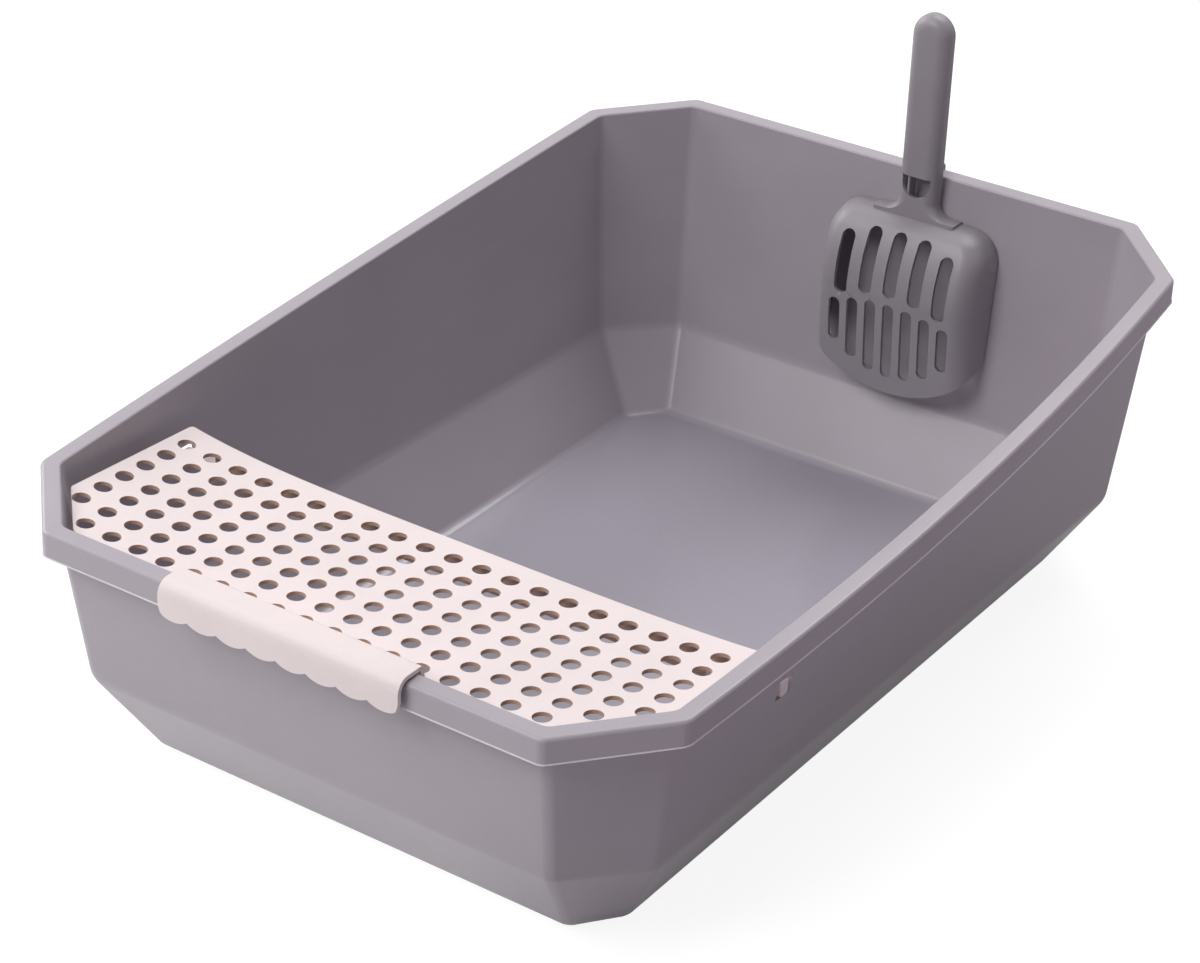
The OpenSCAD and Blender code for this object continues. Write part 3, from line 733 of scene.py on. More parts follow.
class LITTERBOX_OT_mould_step_plate(bpy.types.Operator):
    """Mould the step's perforated plate, with its flange and the lugs it turns on"""
    bl_idname = "litter_box.mould_step_plate"
    bl_label = "Mould Step Plate"

    def execute(self, context):
        step = context.scene.entry_step
        colours = context.scene.litter_colours
        grain = 1700.0
        white = moulded_plastic("off-white moulded plastic", colours.step, 0.46, grain)
        # The holes' walls get painted shade with an amber glow of light through the plastic
        hole_wall_shade = moulded_plastic("off-white plastic with painted shade in the holes", colours.holes, 0.5, grain)
        self.plate(step, white, hole_wall_shade)
        # The flange's inner side gets painted shade with an amber glow of light through the plastic
        shaded = moulded_plastic(
            "off-white plastic with painted glow behind the flange", colours.flange_painted_glow, 0.5, grain)
        self.flange(step, white, shaded)
        self.lug(white, -1, "step_lug_left", STEP_LOW.x)
        self.lug(white, 1, "step_lug_right", STEP_HIGH.x)
        return {"FINISHED"}

    @staticmethod
    def dish(x):
        """Rise of the dished plate, at the distance x from its middle."""
        rise = DISH_LEFT if x < 0 else DISH_RIGHT
        return rise * (x / DISH_HALF_WIDTH) ** 4

    def plate(self, step, white, hole_wall_shade):
        """The dished plate: cells round the holes, margins to its borders, and two dents."""
        mesh = bmesh.new()
        half = Vector((step.pitch_x / 2, step.pitch_y / 2, 0.0))
        for row in range(step.rows):
            for column in range(step.columns):
                centre = Vector((
                    (column - (step.columns - 1) / 2) * step.pitch_x, -row * step.pitch_y, 0.0))
                ends = row == step.rows - 1 and column in (0, step.columns - 1)
                self.cell(mesh, centre, half, step.hole_diameter / 2, plain=ends)
        bmesh.ops.remove_doubles(mesh, verts=mesh.verts[:], dist=2e-5)
        for axis, side, place in (
                (0, -1, PLATE_LEFT), (0, 1, PLATE_RIGHT), (1, 1, PLATE_REAR), (1, -1, PLATE_FRONT)):
            self.margin(mesh, axis, side, place)
        cut_left, cut_right = PLATE_LEFT + CUT_LEFT, PLATE_RIGHT - CUT_RIGHT
        slice_mesh(mesh, (cut_left, PLATE_FRONT, 0), Vector((-1, -1, 0)), clear=True)
        slice_mesh(mesh, (cut_right, PLATE_FRONT, 0), Vector((1, -1, 0)), clear=True)
        front_corners = (
            (PLATE_LEFT, PLATE_FRONT + CUT_LEFT), (cut_left, PLATE_FRONT),
            (PLATE_RIGHT, PLATE_FRONT + CUT_RIGHT), (cut_right, PLATE_FRONT))
        for width, corners in (
                (REAR_CORNER_RADIUS, ((PLATE_LEFT, PLATE_REAR), (PLATE_RIGHT, PLATE_REAR))),
                (FRONT_CORNER_RADIUS, front_corners)):
            nearest = [
                min(mesh.verts, key=lambda v: math.hypot(v.co.x - x, v.co.y - y))
                for x, y in corners]
            round_off(mesh, nearest, width, 4, "VERTICES")
        for side in (-1, 1):
            self.dent(mesh, Vector((side * DENT_X, DENT_Y, 0.0)))
        face_out(mesh, (0, 0, 1), mesh.faces[:][0])
        for vertex in mesh.verts:
            vertex.co.z += self.dish(vertex.co.x - STEP_X)
        place = Matrix.Translation((0.0, LAST_ROW_Y, step.plate_z))
        bmesh.ops.transform(
            mesh, matrix=place @ Matrix.Rotation(-step.tilt, 4, "X"), verts=mesh.verts[:])
        # Walls take the slot after their face's; in the holes that slot is painted shade with an
        # amber glow. Longer open edges than a hole's are the border's, which keeps the plate's own
        # colour
        longest_hole_edge = 0.0014
        for face in mesh.faces:
            if any(e.is_boundary and e.calc_length() > longest_hole_edge for e in face.edges):
                face.material_index = 2
        piece = make_piece(mesh, "step_plate", (white, hole_wall_shade, white, white), STEP_PART)
        thicken(piece, step.thickness, rim=1)
        soften(piece, 0.00045)

    @staticmethod
    def cell(mesh, centre, half, radius, plain):
        """One cell of the plate: a rectangle round a hole, with the same edges in every cell."""
        ring = bmesh.ops.create_circle(
            mesh, cap_ends=plain, segments=HOLE_CORNERS, radius=radius,
            matrix=Matrix.Translation(centre))["verts"]
        edges = {edge for vertex in ring for edge in vertex.link_edges}
        made = bmesh.ops.extrude_edge_only(mesh, edges=list(edges))
        for vertex in verts_in(made):
            out = vertex.co - centre
            turn = round(math.degrees(math.atan2(out.y, out.x)) * HOLE_CORNERS / 360)
            if turn % 6 == 3:
                corner = Vector((math.copysign(half.x, out.x), math.copysign(half.y, out.y), 0.0))
            else:
                corner = out / max(abs(out.x) / half.x, abs(out.y) / half.y)
            vertex.co = centre + corner

    @staticmethod
    def dent(mesh, centre):
        """A shallow four-sided dent in the plate's top."""
        for normal in (Vector((1, 0, 0)), Vector((0, 1, 0))):
            for side in (-1, 1):
                near = [f for f in mesh.faces if (f.calc_center_median() - centre).length < 0.011]
                slice_mesh(mesh, centre + side * DENT_REACH, normal, near)
        inner = min(mesh.faces, key=lambda f: (f.calc_center_median() - centre).length)
        made = bmesh.ops.poke(mesh, faces=[inner])
        made["verts"][0].co.z = -DENT_DEPTH

    @staticmethod
    def margin(mesh, axis, side, place):
        """Extends the plate's straight edge on one side to its border."""
        reach = max(side * vertex.co[axis] for vertex in mesh.verts)
        edges = [e for e in mesh.edges if len(e.link_faces) == 1 and all(
            abs(side * v.co[axis] - reach) < 1e-5 for v in e.verts)]
        made = bmesh.ops.extrude_edge_only(mesh, edges=edges)
        for vertex in verts_in(made):
            vertex.co[axis] = place

    def flange(self, step, white, shaded):
        """The flange that hangs under the plate's rear edge, up against the dished plate."""
        mesh = bmesh.new()
        columns = [STEP_X + FLANGE_HALF_WIDTH * (i / 12 - 1) for i in range(25)]
        chain = open_chain(mesh, [(x, FLANGE_Y, FLANGE_LOW) for x in columns])
        top = step.plate_z - FLANGE_DROP - PLATE_REAR * math.tan(step.tilt)
        extrude_on(mesh, chain, [(x, FLANGE_Y, top + self.dish(x - STEP_X)) for x in columns])
        face_out(mesh, (0, 1, 0), mesh.faces[:][0])
        piece = make_piece(mesh, "step_flange", (white, shaded), STEP_PART)
        thicken(piece, FLANGE_THICKNESS, inside=1)
        soften(piece, 0.0005)

    @staticmethod
    def lug(white, side, name, end):
        """The block at the flange's end, and the flatted lug out to the pan's window."""
        mesh = bmesh.new()
        inner = STEP_X + side * BLOCK_INNER
        block = bmesh.ops.create_cube(mesh, size=1.0)["verts"]
        bmesh.ops.scale(mesh, vec=BLOCK_SIZE, verts=block)
        move(mesh, (inner + side * BLOCK_SIZE[0] / 2, BLOCK_Y, LUG_Z))
        round_off(mesh, mesh.edges[:], 0.0006, 2)
        made = bmesh.ops.create_cone(
            mesh, cap_ends=True, segments=48, radius1=LUG_RADIUS, radius2=LUG_RADIUS,
            depth=abs(end - inner) - LUG_START,
            matrix=Matrix.Rotation(math.pi / 2, 4, "Y"))["verts"]
        for vertex in made:
            vertex.co.y = min(LUG_HALF_LENGTH, max(-LUG_HALF_LENGTH, vertex.co.y))
            vertex.co.z = min(LUG_OVER, max(-LUG_UNDER, vertex.co.z))
        move(mesh, ((inner + side * LUG_START + end) / 2, LUG_Y, LUG_Z), made)
        bmesh.ops.remove_doubles(mesh, verts=made, dist=5e-5)
        # Only the lug's two ends have sharp rims to round
        ends = [v for v in mesh.verts if side * (v.co.x - inner) > BLOCK_SIZE[0] + 0.0015 or (
            abs(v.co.x - inner - side * LUG_START) < 1e-5)]
        rims = {e for v in ends for e in v.link_edges if e.calc_face_angle(0.0) > 0.6}
        round_off(mesh, list(rims), 0.0003, 2)
        soften(make_piece(mesh, name, [white], STEP_PART), 0.0002, 1)


# The hook: its top edge's radius, the riser's top, the riser's foot and the landing's rear end
HOOK_RADIUS, RISER_RADIUS = 0.007, 0.002
RISER_Y, FOOT_Y, LANDING_Y = -0.2523, -0.2501, -0.2465
# The landing lies this little under the plate's top
LANDING_DROP = 0.00006
# The flap: rows of points on its face, height of its scalloped edge, depth of the scallops and
# radius of its lower corners
FLAP_ROWS = (0.1265, 0.1280)
FLAP_LOW, SCALLOP_DEPTH, FLAP_CORNER = 0.1225, 0.0024, 0.006


class LITTERBOX_OT_mould_step_hook(bpy.types.Operator):
    """Mould the scalloped hook that goes over the front rim"""
    bl_idname = "litter_box.mould_step_hook"
    bl_label = "Mould Step Hook"

    def execute(self, context):
        step = context.scene.entry_step
        path = self.path(step)
        width = step.scallops * step.scallop_width
        columns = step.scallops * 16
        mesh = bmesh.new()
        bmesh.ops.create_grid(mesh, x_segments=columns, y_segments=len(path), size=0.5)
        for vertex in mesh.verts:
            x = vertex.co.x * width
            row = round((vertex.co.y + 0.5) * len(path))
            if row == 0:
                y, z = path[0][0], self.lower_edge(step, x, width)
            else:
                y, z = path[row - 1]
            vertex.co = (STEP_X + x, y, z)
        face_out(mesh, (0, 0, 1))
        white = bpy.data.materials["off-white moulded plastic"]
        piece = make_piece(mesh, "step_hook", [white], STEP_PART)
        thicken(piece, step.hook_thickness)
        soften(piece, 0.0006, 3)
        return {"FINISHED"}

    @staticmethod
    def path(step):
        """Outer line of the hook in the plane x = 0: flap, top, riser and landing."""
        front, top = STEP_LOW.y, STEP_HIGH.z

        def plate_top(y):
            return step.plate_z + math.tan(step.tilt) * (LAST_ROW_Y - y) - LANDING_DROP

        def arc(y, radius, angle):
            return y + radius * math.cos(angle), top - radius + radius * math.sin(angle)

        points = [(front, z) for z in (*FLAP_ROWS, top - HOOK_RADIUS)]
        for turn in range(1, 9):
            points.append(arc(front + HOOK_RADIUS, HOOK_RADIUS, math.pi * (1 - turn / 16)))
        for turn in range(5):
            points.append(arc(RISER_Y - RISER_RADIUS, RISER_RADIUS, math.pi * (1 / 2 - turn / 8)))
        # The riser runs out into the landing in a small fillet
        for ahead, above in ((-0.0002, 0.0014), (0.0003, 0.0005)):
            points.append((FOOT_Y + ahead, plate_top(FOOT_Y) + above))
        points += [(y, plate_top(y)) for y in (FOOT_Y + 0.0012, LANDING_Y)]
        return points

    @staticmethod
    def lower_edge(step, x, width):
        """Height of the scalloped edge at the place x, with rounded ends."""
        bottom = FLAP_LOW - SCALLOP_DEPTH
        lobe = ((step.scallop_width / 2) ** 2 + SCALLOP_DEPTH ** 2) / (2 * SCALLOP_DEPTH)
        ahead = (x + width / 2) % step.scallop_width - step.scallop_width / 2
        edge = bottom + lobe - math.sqrt(lobe ** 2 - ahead ** 2)
        inside = max(0.0, FLAP_CORNER - (width / 2 - abs(x)))
        if inside > 0:
            drop = math.sqrt(max(0.0, FLAP_CORNER ** 2 - inside ** 2))
            edge = max(edge, bottom + FLAP_CORNER - drop)
        return edge


# ---------------------------------------------------------------- the scoop

# The bowl: its top, the height at which its face starts to curve back, and half of its width at
# the face and at the mouth
BOWL_TOP, HEEL_Z = 0.153, 0.112
HALF_FACE, HALF_MOUTH = 0.046, 0.0495
HEEL_RADIUS, SHOULDER_RADIUS, SIDE_RADIUS = 0.065, 0.017, 0.0088
# How the bowl's face rolls over into its top: heights and distances back
TOP_ROLL = ((0.0018, 0.0024), (0.0033, 0.005), (0.0044, 0.0082), (0.0051, 0.0112), (0.0055, 0.014))
# Slope of the face under the heel, and radii of the lip's arc and of its corner arcs
FACE_SLOPE = 0.075
LIP_RADIUS, LIP_CORNER = 0.069, 0.022
# The lip's edge lies behind the face, and its sides run out over this height
LIP_BACK, RUN_OUT = 0.0022, 0.013
# Pitch of the lower and of the upper slots, and where the middle ones end: over the lip, under
# the heel and over the heel
LOWER_PITCH, UPPER_PITCH = 0.0112, 0.0151
OVER_LIP, UNDER_HEEL, OVER_HEEL = 0.0095, 0.004, 0.0354
# How far the outermost slots' ends lie higher at the lip, and lower everywhere else
SIDE_RISE, SIDE_DROP = 0.014, 0.005
# The pan's inner rear wall at its belly, and the gap between the bowl's rear edge and the wall
BELLY_REAR_Y, BELLY_REAR_Z = 0.2434, 0.044
WALL_GAP = 0.001
# The handle: its back, the foot of its collar, and its rounded corners
HANDLE_BACK, FOOT_Z, HANDLE_CORNER = 0.2527, 0.1512, 0.0063
# The collar's half width, its thickness, and the radius of the sweep up into the handle
COLLAR_HALF_WIDTH, COLLAR, SWEEP = 0.025, 0.003, 0.008
WINDOW_RADIUS, WINDOW_TOP = 0.0084, REAR_RIM_Z + 0.0002
RIB_SIZE, RIB_OFFSET = (0.0014, 0.0073), -0.0046
# The inner sides of the rib and the strap touch the wall of the handle at its middle
HALF_WALL = 0.0011
STRAP_WIDTH, STRAP_THICKNESS, STRAP_RADIUS, STRAP_LOW = 0.0095, 0.0024, 0.0032, 0.1655


def rear_wall(z):
    """Rear edge of the bowl at the height z, close to the inner face of the pan's rear wall."""
    share = (z - BELLY_REAR_Z) / (REAR_RIM_Z - BELLY_REAR_Z)
    return BELLY_REAR_Y + WALL_LEAN[1] * share - WALL_GAP


class LITTERBOX_OT_mould_scoop_bowl(bpy.types.Operator):
    """Mould the slotted bowl of the scoop"""
    bl_idname = "litter_box.mould_scoop_bowl"
    bl_label = "Mould Scoop Bowl"

    @staticmethod
    def front(z):
        """Front of the bowl at the height z: flat, then curving back over the heel."""
        if z < HEEL_Z:
            return SCOOP_LOW.y + FACE_SLOPE * (HEEL_Z - z)
        return SCOOP_LOW.y + HEEL_RADIUS - math.sqrt(HEEL_RADIUS ** 2 - (z - HEEL_Z) ** 2)

    @staticmethod
    def shoulder(z):
        """What the rounded shoulders take off the half width at the height z."""
        above = min(SHOULDER_RADIUS, max(0.0, z - BOWL_TOP + SHOULDER_RADIUS))
        return SHOULDER_RADIUS - math.sqrt(SHOULDER_RADIUS ** 2 - above ** 2)

    def execute(self, context):
        scoop = context.scene.litter_scoop
        colours = context.scene.litter_colours
        lip_z = BOWL_TOP - scoop.bowl_height
        roll_z = BOWL_TOP - TOP_ROLL[-1][0]
        heights = [lip_z - 0.001, lip_z + 0.012, lip_z + 0.03, HEEL_Z - 0.01, HEEL_Z]
        heights += [HEEL_Z + (roll_z - HEEL_Z) * i / 9 for i in range(1, 10)]
        levels = [(z, self.front(z)) for z in heights]
        levels += [(roll_z + rise, self.front(roll_z) + back) for rise, back in TOP_ROLL]

        mesh = bmesh.new()
        z0, y0 = levels[0]
        chain = open_chain(mesh, [
            (-HALF_MOUTH, rear_wall(z0), z0), (-HALF_FACE, y0, z0), (0, y0, z0),
            (HALF_FACE, y0, z0), (HALF_MOUTH, rear_wall(z0), z0)])
        end = chain[0]
        round_off(mesh, [chain[1], chain[3]], SIDE_RADIUS, 7, "VERTICES")
        chain = in_order(end)
        shape = [vertex.co.copy() for vertex in chain]
        for z, front in levels[1:]:
            narrow = (HALF_MOUTH - self.shoulder(z)) / HALF_MOUTH
            deep = (rear_wall(z) - front) / (rear_wall(z0) - y0)
            chain = extrude_on(mesh, chain, [
                (p.x * narrow, front + (p.y - y0) * deep, z) for p in shape])
        face_out(mesh, (0, 0, 1), mesh.faces.new(chain))
        self.trim(mesh, lip_z)
        move(mesh, (scoop.middle_x, 0, 0))
        grain = 1500.0
        # The inner faces take the second slot, which is painted shade
        materials = (
            moulded_plastic("scoop plastic", colours.scoop, 0.42, grain),
            moulded_plastic("scoop plastic with painted shade inside", colours.scoop_painted_shade, 0.65, grain))
        piece = make_piece(mesh, "scoop_bowl", materials, SCOOP_PART)
        thicken(piece, scoop.thickness, inside=1)
        cut_out(piece, self.slots(scoop, lip_z))
        soften(piece, 0.0005)
        return {"FINISHED"}

    def trim(self, mesh, lip_z):
        """Cuts the curved lip, and the sides where they run out towards it."""
        reach = LIP_RADIUS - LIP_CORNER
        # Where the lip's arc passes into its corner arcs, which end upright at the bowl's sides
        turn = math.asin((HALF_MOUTH + 0.001 - LIP_CORNER) / reach)
        middle = Vector((0.0, 0.0, lip_z + LIP_RADIUS))

        def away(angle):
            return Vector((math.sin(angle), 0.0, -math.cos(angle)))

        for i in range(-12, 13):
            normal = away(turn * i / 12)
            slice_mesh(mesh, middle + normal * LIP_RADIUS, normal, clear=True)
        for sign in (-1, 1):
            centre = middle + away(sign * turn) * reach
            for i in range(1, 8):
                normal = away(sign * (turn + (math.pi / 2 - turn) * i / 8))
                slice_mesh(mesh, centre + normal * LIP_CORNER, normal, clear=True)
        lip_y = self.front(lip_z) + LIP_BACK
        low = lip_z + RUN_OUT
        slice_mesh(mesh, (0, 0, low), (0, 0, 1))
        below = [f for f in mesh.faces if f.calc_center_median().z < low]
        slice_mesh(mesh, (0, lip_y, low), (0, 1, 0), below, clear=True)
        above = [f for f in mesh.faces if f.calc_center_median().z > low]
        slope = Vector((0, rear_wall(low + RUN_OUT) - lip_y, RUN_OUT)).normalized()
        slice_mesh(mesh, (0, lip_y, low), (0, slope.z, -slope.y), above, clear=True)

    @staticmethod
    def slots(scoop, lip_z):
        """The closed shapes of all slots, seven below and five above."""
        mesh = bmesh.new()

        def slot(x, radius, low, high):
            middle = (low + high) / 2

            def lengthen(corner):
                if abs(corner.z - middle) > 1e-6:
                    corner.z += math.copysign((high - low) / 2 - radius, corner.z - middle)

            place = (scoop.middle_x + x, SCOOP_LOW.y - 0.004, middle)
            opening(mesh, place, radius, 24, 0.026, lengthen)

        # Towards the sides the lower slots get shorter, and the upper ones lie lower
        for place in range(-3, 4):
            u = (place / 3) ** 2
            slot(place * LOWER_PITCH, scoop.slot_width / 2,
                 lip_z + OVER_LIP + SIDE_RISE * u, HEEL_Z - UNDER_HEEL - SIDE_DROP * u)
        for place in range(-2, 3):
            u = (place / 2) ** 2
            slot(place * UPPER_PITCH, scoop.upper_slot_width / 2,
                 HEEL_Z - SIDE_DROP * u, HEEL_Z + OVER_HEEL - SIDE_DROP * u * u)
        return mesh


class LITTERBOX_OT_mould_scoop_handle(bpy.types.Operator):
    """Mould the scoop's hollow handle, with its collar, neck window, rib and hook"""
    bl_idname = "litter_box.mould_scoop_handle"
    bl_label = "Mould Scoop Handle"

    def execute(self, context):
        scoop = context.scene.litter_scoop
        grey = bpy.data.materials["scoop plastic"]
        half = scoop.handle_width / 2
        front = HANDLE_BACK - scoop.handle_depth
        dome_z = SCOOP_HIGH.z - half
        mesh = bmesh.new()
        chain = open_chain(mesh, [
            (-half, HANDLE_BACK, 0), (-half, front, 0), (0, front, 0),
            (half, front, 0), (half, HANDLE_BACK, 0)])
        end = chain[0]
        round_off(mesh, [chain[1], chain[3]], HANDLE_CORNER, 7, "VERTICES")
        chain = in_order(end)
        shape = [vertex.co.copy() for vertex in chain]

        def section(z, wide, round_share):
            """The handle's section at a height, with a half width and a share of its rounding."""
            places = []
            for p in shape:
                side = (p.x > 1e-6) - (p.x < -1e-6)
                away = Vector((p.x - side * half, p.y - front))
                if p.y < HANDLE_BACK - 1e-6:
                    away *= round_share
                places.append((side * wide + away.x, front + away.y, z))
            return places

        # The collar's foot, its ledge and the hollow sweep up into the handle
        levels = [
            (0.0, COLLAR_HALF_WIDTH, 0.25), (COLLAR, COLLAR_HALF_WIDTH, 0.25),
            (COLLAR + 0.00005, half + SWEEP + 0.0005, 0.3)]
        for turn in range(1, 8):
            angle = math.pi / 2 * turn / 7
            levels.append((
                COLLAR + SWEEP * (1 - math.cos(angle)), half + SWEEP * (1 - math.sin(angle)),
                0.3 + 0.7 * turn / 7))
        for vertex, place in zip(chain, section(FOOT_Z, *levels[0][1:])):
            vertex.co = place
        for rise, wide, round_share in levels[1:]:
            chain = extrude_on(mesh, chain, section(FOOT_Z + rise, wide, round_share))
        for z in (0.2, 0.23, dome_z):
            chain = extrude_on(mesh, chain, section(z, half, 1.0))

        # The left half of the last section spins over the handle's round end
        middle = min(range(len(chain)), key=lambda i: abs(chain[i].co.x))
        left = chain[:middle + 1]
        edges = [edge_between(a, b) for a, b in zip(left, left[1:])]
        bmesh.ops.spin(
            mesh, geom=left + edges, cent=(0, 0, dome_z), axis=(0, 1, 0), angle=math.pi,
            steps=20, use_merge=False)
        bmesh.ops.remove_doubles(mesh, verts=mesh.verts[:], dist=1e-5)
        face_out(mesh, (0, -1, 0))
        move(mesh, (scoop.middle_x, 0, 0))
        piece = make_piece(mesh, "scoop_handle", [grey], SCOOP_PART)
        thicken(piece, scoop.thickness)
        cut_out(piece, self.window(scoop, front))
        soften(piece, 0.0005)
        self.rib(scoop, grey, front, dome_z)
        self.hook(scoop, grey, front)
        return {"FINISHED"}

    @staticmethod
    def window(scoop, front):
        """The closed shape of the neck's U-shaped window."""
        mesh = bmesh.new()
        middle = Vector((scoop.middle_x, front - 0.001, WINDOW_TOP - 0.0036))

        def square_off(corner):
            if corner.z > middle.z + 1e-6:
                across = (corner.x - middle.x) * 1.02
                corner.z = WINDOW_TOP
                corner.x = middle.x + max(-WINDOW_RADIUS, min(WINDOW_RADIUS, across))

        opening(mesh, middle, WINDOW_RADIUS, 48, 0.0062, square_off)
        return mesh

    @staticmethod
    def rib(scoop, grey, front, dome_z):
        """The rib along the hollow of the handle."""
        mesh = bmesh.new()
        bmesh.ops.create_cube(mesh, size=1.0)
        low = FOOT_Z + COLLAR
        bmesh.ops.scale(mesh, vec=(*RIB_SIZE, dome_z - low), verts=mesh.verts[:])
        move(mesh, (
            scoop.middle_x + RIB_OFFSET, front + HALF_WALL + RIB_SIZE[1] / 2, (low + dome_z) / 2))
        soften(make_piece(mesh, "scoop_rib", [grey], SCOOP_PART), 0.0003)

    @staticmethod
    def hook(scoop, grey, front):
        """The strap that hangs the scoop on the rear rim."""
        mesh = bmesh.new()
        top = REAR_RIM_Z + 0.0003 + STRAP_THICKNESS
        left, rear = -STRAP_WIDTH / 2, SCOOP_HIGH.y
        chain = open_chain(mesh, [
            (left, front + HALF_WALL, top), (left, rear, top), (left, rear, STRAP_LOW)])
        end = chain[0]
        round_off(mesh, [chain[1]], STRAP_RADIUS, 6, "VERTICES")
        chain = in_order(end)
        extrude_on(mesh, chain, [vertex.co + Vector((STRAP_WIDTH, 0, 0)) for vertex in chain])
        face_out(mesh, (0, 0, 1))
        move(mesh, (scoop.middle_x, 0, 0))
        piece = make_piece(mesh, "scoop_hook", [grey], SCOOP_PART)
        thicken(piece, STRAP_THICKNESS)
        soften(piece, 0.0005)


# ---------------------------------------------------------------- the stage

# What the lamps look at, and the camera's place, target, lens in millimetres and roll
OBJECT_MIDDLE = (0.0, 0.0, 0.08)
CAMERA_PLACE = (0.7297, -1.1124, 0.8237)
CAMERA_TARGET = (-0.0423, 0.0386, 0.060)
CAMERA_LENS, CAMERA_ROLL = 92.53, 0.035


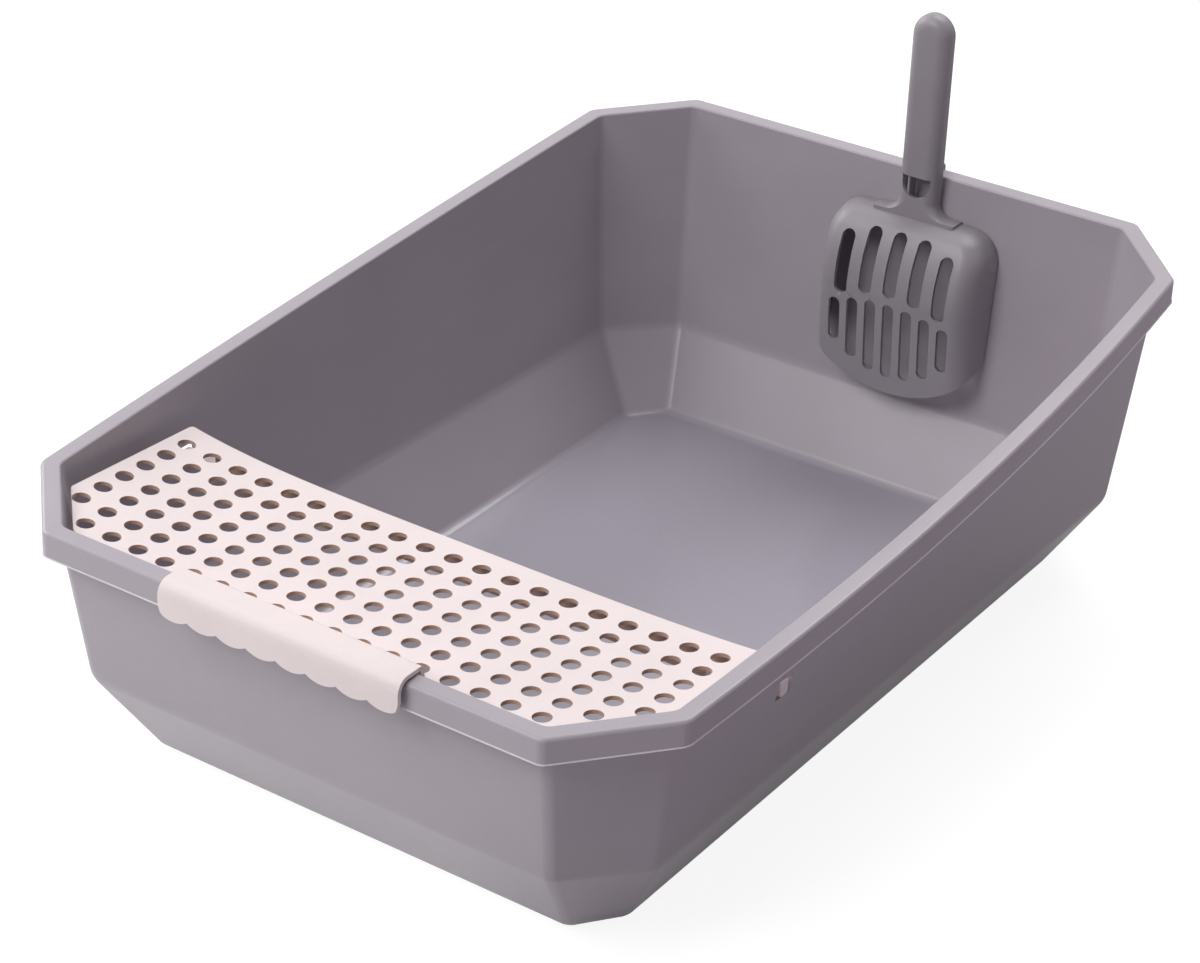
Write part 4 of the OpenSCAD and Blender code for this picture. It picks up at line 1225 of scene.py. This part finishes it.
class LITTERBOX_OT_set_stage(bpy.types.Operator):
    """Set the pale floor, the soft studio light and the camera"""
    bl_idname = "litter_box.set_stage"
    bl_label = "Set Stage"

    def execute(self, context):
        studio = context.scene.studio_light
        self.floor()
        self.lamp("front_light", (-0.55, -1.60, 1.80), 1.2, studio.front_power)
        self.lamp("left_light", (-2.08, 0.00, 1.28), 1.3, studio.left_power)
        self.lamp("rear_light", (0.00, 1.27, 2.11), 1.3, studio.rear_power)
        self.world(studio.ambient)
        self.camera()
        context.scene.view_settings.view_transform = "Standard"
        return {"FINISHED"}

    @staticmethod
    def floor():
        """The floor: white at the front and left, with painted shade on the right so that less
        light is thrown back there, and a painted white glow in reflections only at the front and
        left.
        """
        mesh = bmesh.new()
        bmesh.ops.create_grid(mesh, x_segments=1, y_segments=1, size=6.0)
        move(mesh, (0, 0, -0.0004))
        floor = new_object(mesh, "studio_floor")
        finish = Finish("studio floor")
        across = finish.add("ShaderNodeSeparateXYZ", {}, {0: finish.place}, "X")
        bright = finish.fade(across, 0.06, 0.31)
        # Painted shade is deepest close to the pan, so least light comes back from there
        far = finish.fade(across, 0.26, 0.50, 0.0, 1.0)
        painted_floor_shade = finish.mix(far, (0.24, 0.205, 0.24, 1.0), (0.92, 0.80, 0.92, 1.0))
        camera = finish.seen_by("Is Camera Ray")
        even = finish.maths("MAXIMUM", bright, camera)
        finish.paint("Base Color", finish.mix(even, painted_floor_shade, (0.92, 0.92, 0.92, 1.0)))
        finish.paint("Roughness", 0.9)
        finish.paint("Emission Color", finish.mix(camera, BLACK, (0.56, 0.56, 0.56, 1.0)))
        finish.paint("Emission Strength", 1.0)
        # Painted reflection: glossy rays see the floor glow white only at the front and left
        painted_reflection_glow = finish.seen_by("Is Glossy Ray") * finish.maths("POWER", bright, 3.0)
        glow = finish.add("ShaderNodeEmission", {}, {0: WHITE})
        lit = Value(finish, finish.shader.outputs[0])
        finish.finish_with("Material Output", (camera + painted_reflection_glow) * 0.75, lit, glow)
        floor.data.materials.append(finish.material)

    @staticmethod
    def set_up(name, data, place, target, roll=0.0):
        """Puts a lamp or camera in its place and turns it to what it looks at."""
        thing = bpy.data.objects.new(name, data)
        bpy.context.scene.collection.objects.link(thing)
        thing.location = place
        thing.rotation_mode = "QUATERNION"
        towards = Vector(target) - Vector(place)
        level = towards.to_track_quat("-Z", "Y")
        thing.rotation_quaternion = level @ Quaternion((0.0, 0.0, 1.0), roll)
        return thing

    def lamp(self, name, place, size, power):
        """A square soft light that looks at the middle of the object."""
        data = bpy.data.lights.new(name, "AREA")
        data.shape = "SQUARE"
        data.size = size
        data.energy = power
        self.set_up(name, data, place, OBJECT_MIDDLE)

    @staticmethod
    def world(ambient):
        """A faint light from all round, and a white backdrop for the camera and in reflections."""
        world = bpy.data.worlds.new("studio")
        world.use_nodes = True
        nodes = Nodes(world.node_tree)
        soft = world.node_tree.nodes["Background"]
        nodes.feed(soft, "Color", WHITE)
        nodes.feed(soft, "Strength", ambient)
        seen = nodes.seen_by("Is Camera Ray", "Is Glossy Ray", "Is Transmission Ray")
        white = nodes.add("ShaderNodeBackground", {}, {0: WHITE})
        nodes.finish_with("World Output", seen, Value(nodes, soft.outputs[0]), white)
        bpy.context.scene.world = world

    def camera(self):
        data = bpy.data.cameras.new("camera")
        data.sensor_fit = "HORIZONTAL"
        data.sensor_width = 36.0
        data.lens = CAMERA_LENS
        camera = self.set_up("camera", data, CAMERA_PLACE, CAMERA_TARGET, CAMERA_ROLL)
        bpy.context.scene.camera = camera


# ---------------------------------------------------------------- the panel

OPERATORS = (
    LITTERBOX_OT_mould_pan,
    LITTERBOX_OT_mould_step_plate,
    LITTERBOX_OT_mould_step_hook,
    LITTERBOX_OT_mould_scoop_bowl,
    LITTERBOX_OT_mould_scoop_handle,
    LITTERBOX_OT_set_stage,
)

SETTINGS = {
    "litter_pan": LitterPanSizes,
    "entry_step": EntryStepSizes,
    "litter_scoop": LitterScoopSizes,
    "litter_colours": LitterBoxColours,
    "studio_light": StudioLight,
}


class LITTERBOX_PT_sidebar(bpy.types.Panel):
    """Sizes, colours and steps of the litter box"""
    bl_idname = "LITTERBOX_PT_sidebar"
    bl_label = "Litter Box"
    bl_space_type = "VIEW_3D"
    bl_region_type = "UI"
    bl_category = "Litter Box"

    def draw(self, context):
        for name, group in SETTINGS.items():
            box = self.layout.box()
            box.label(text=name.replace("_", " ").capitalize())
            for field in group.__annotations__:
                box.prop(getattr(context.scene, name), field)
        for operator in OPERATORS:
            self.layout.operator(operator.bl_idname)


def register():
    for group in SETTINGS.values():
        bpy.utils.register_class(group)
    for operator in OPERATORS:
        bpy.utils.register_class(operator)
    bpy.utils.register_class(LITTERBOX_PT_sidebar)
    for name, group in SETTINGS.items():
        setattr(bpy.types.Scene, name, PointerProperty(type=group))


def unregister():
    for name in SETTINGS:
        delattr(bpy.types.Scene, name)
    bpy.utils.unregister_class(LITTERBOX_PT_sidebar)
    for operator in reversed(OPERATORS):
        bpy.utils.unregister_class(operator)
    for group in reversed(list(SETTINGS.values())):
        bpy.utils.unregister_class(group)


def main():
    register()
    bpy.ops.litter_box.mould_pan()
    bpy.ops.litter_box.mould_step_plate()
    bpy.ops.litter_box.mould_step_hook()
    bpy.ops.litter_box.mould_scoop_bowl()
    bpy.ops.litter_box.mould_scoop_handle()
    bpy.ops.litter_box.set_stage()


if __name__ == "__main__":
    main()
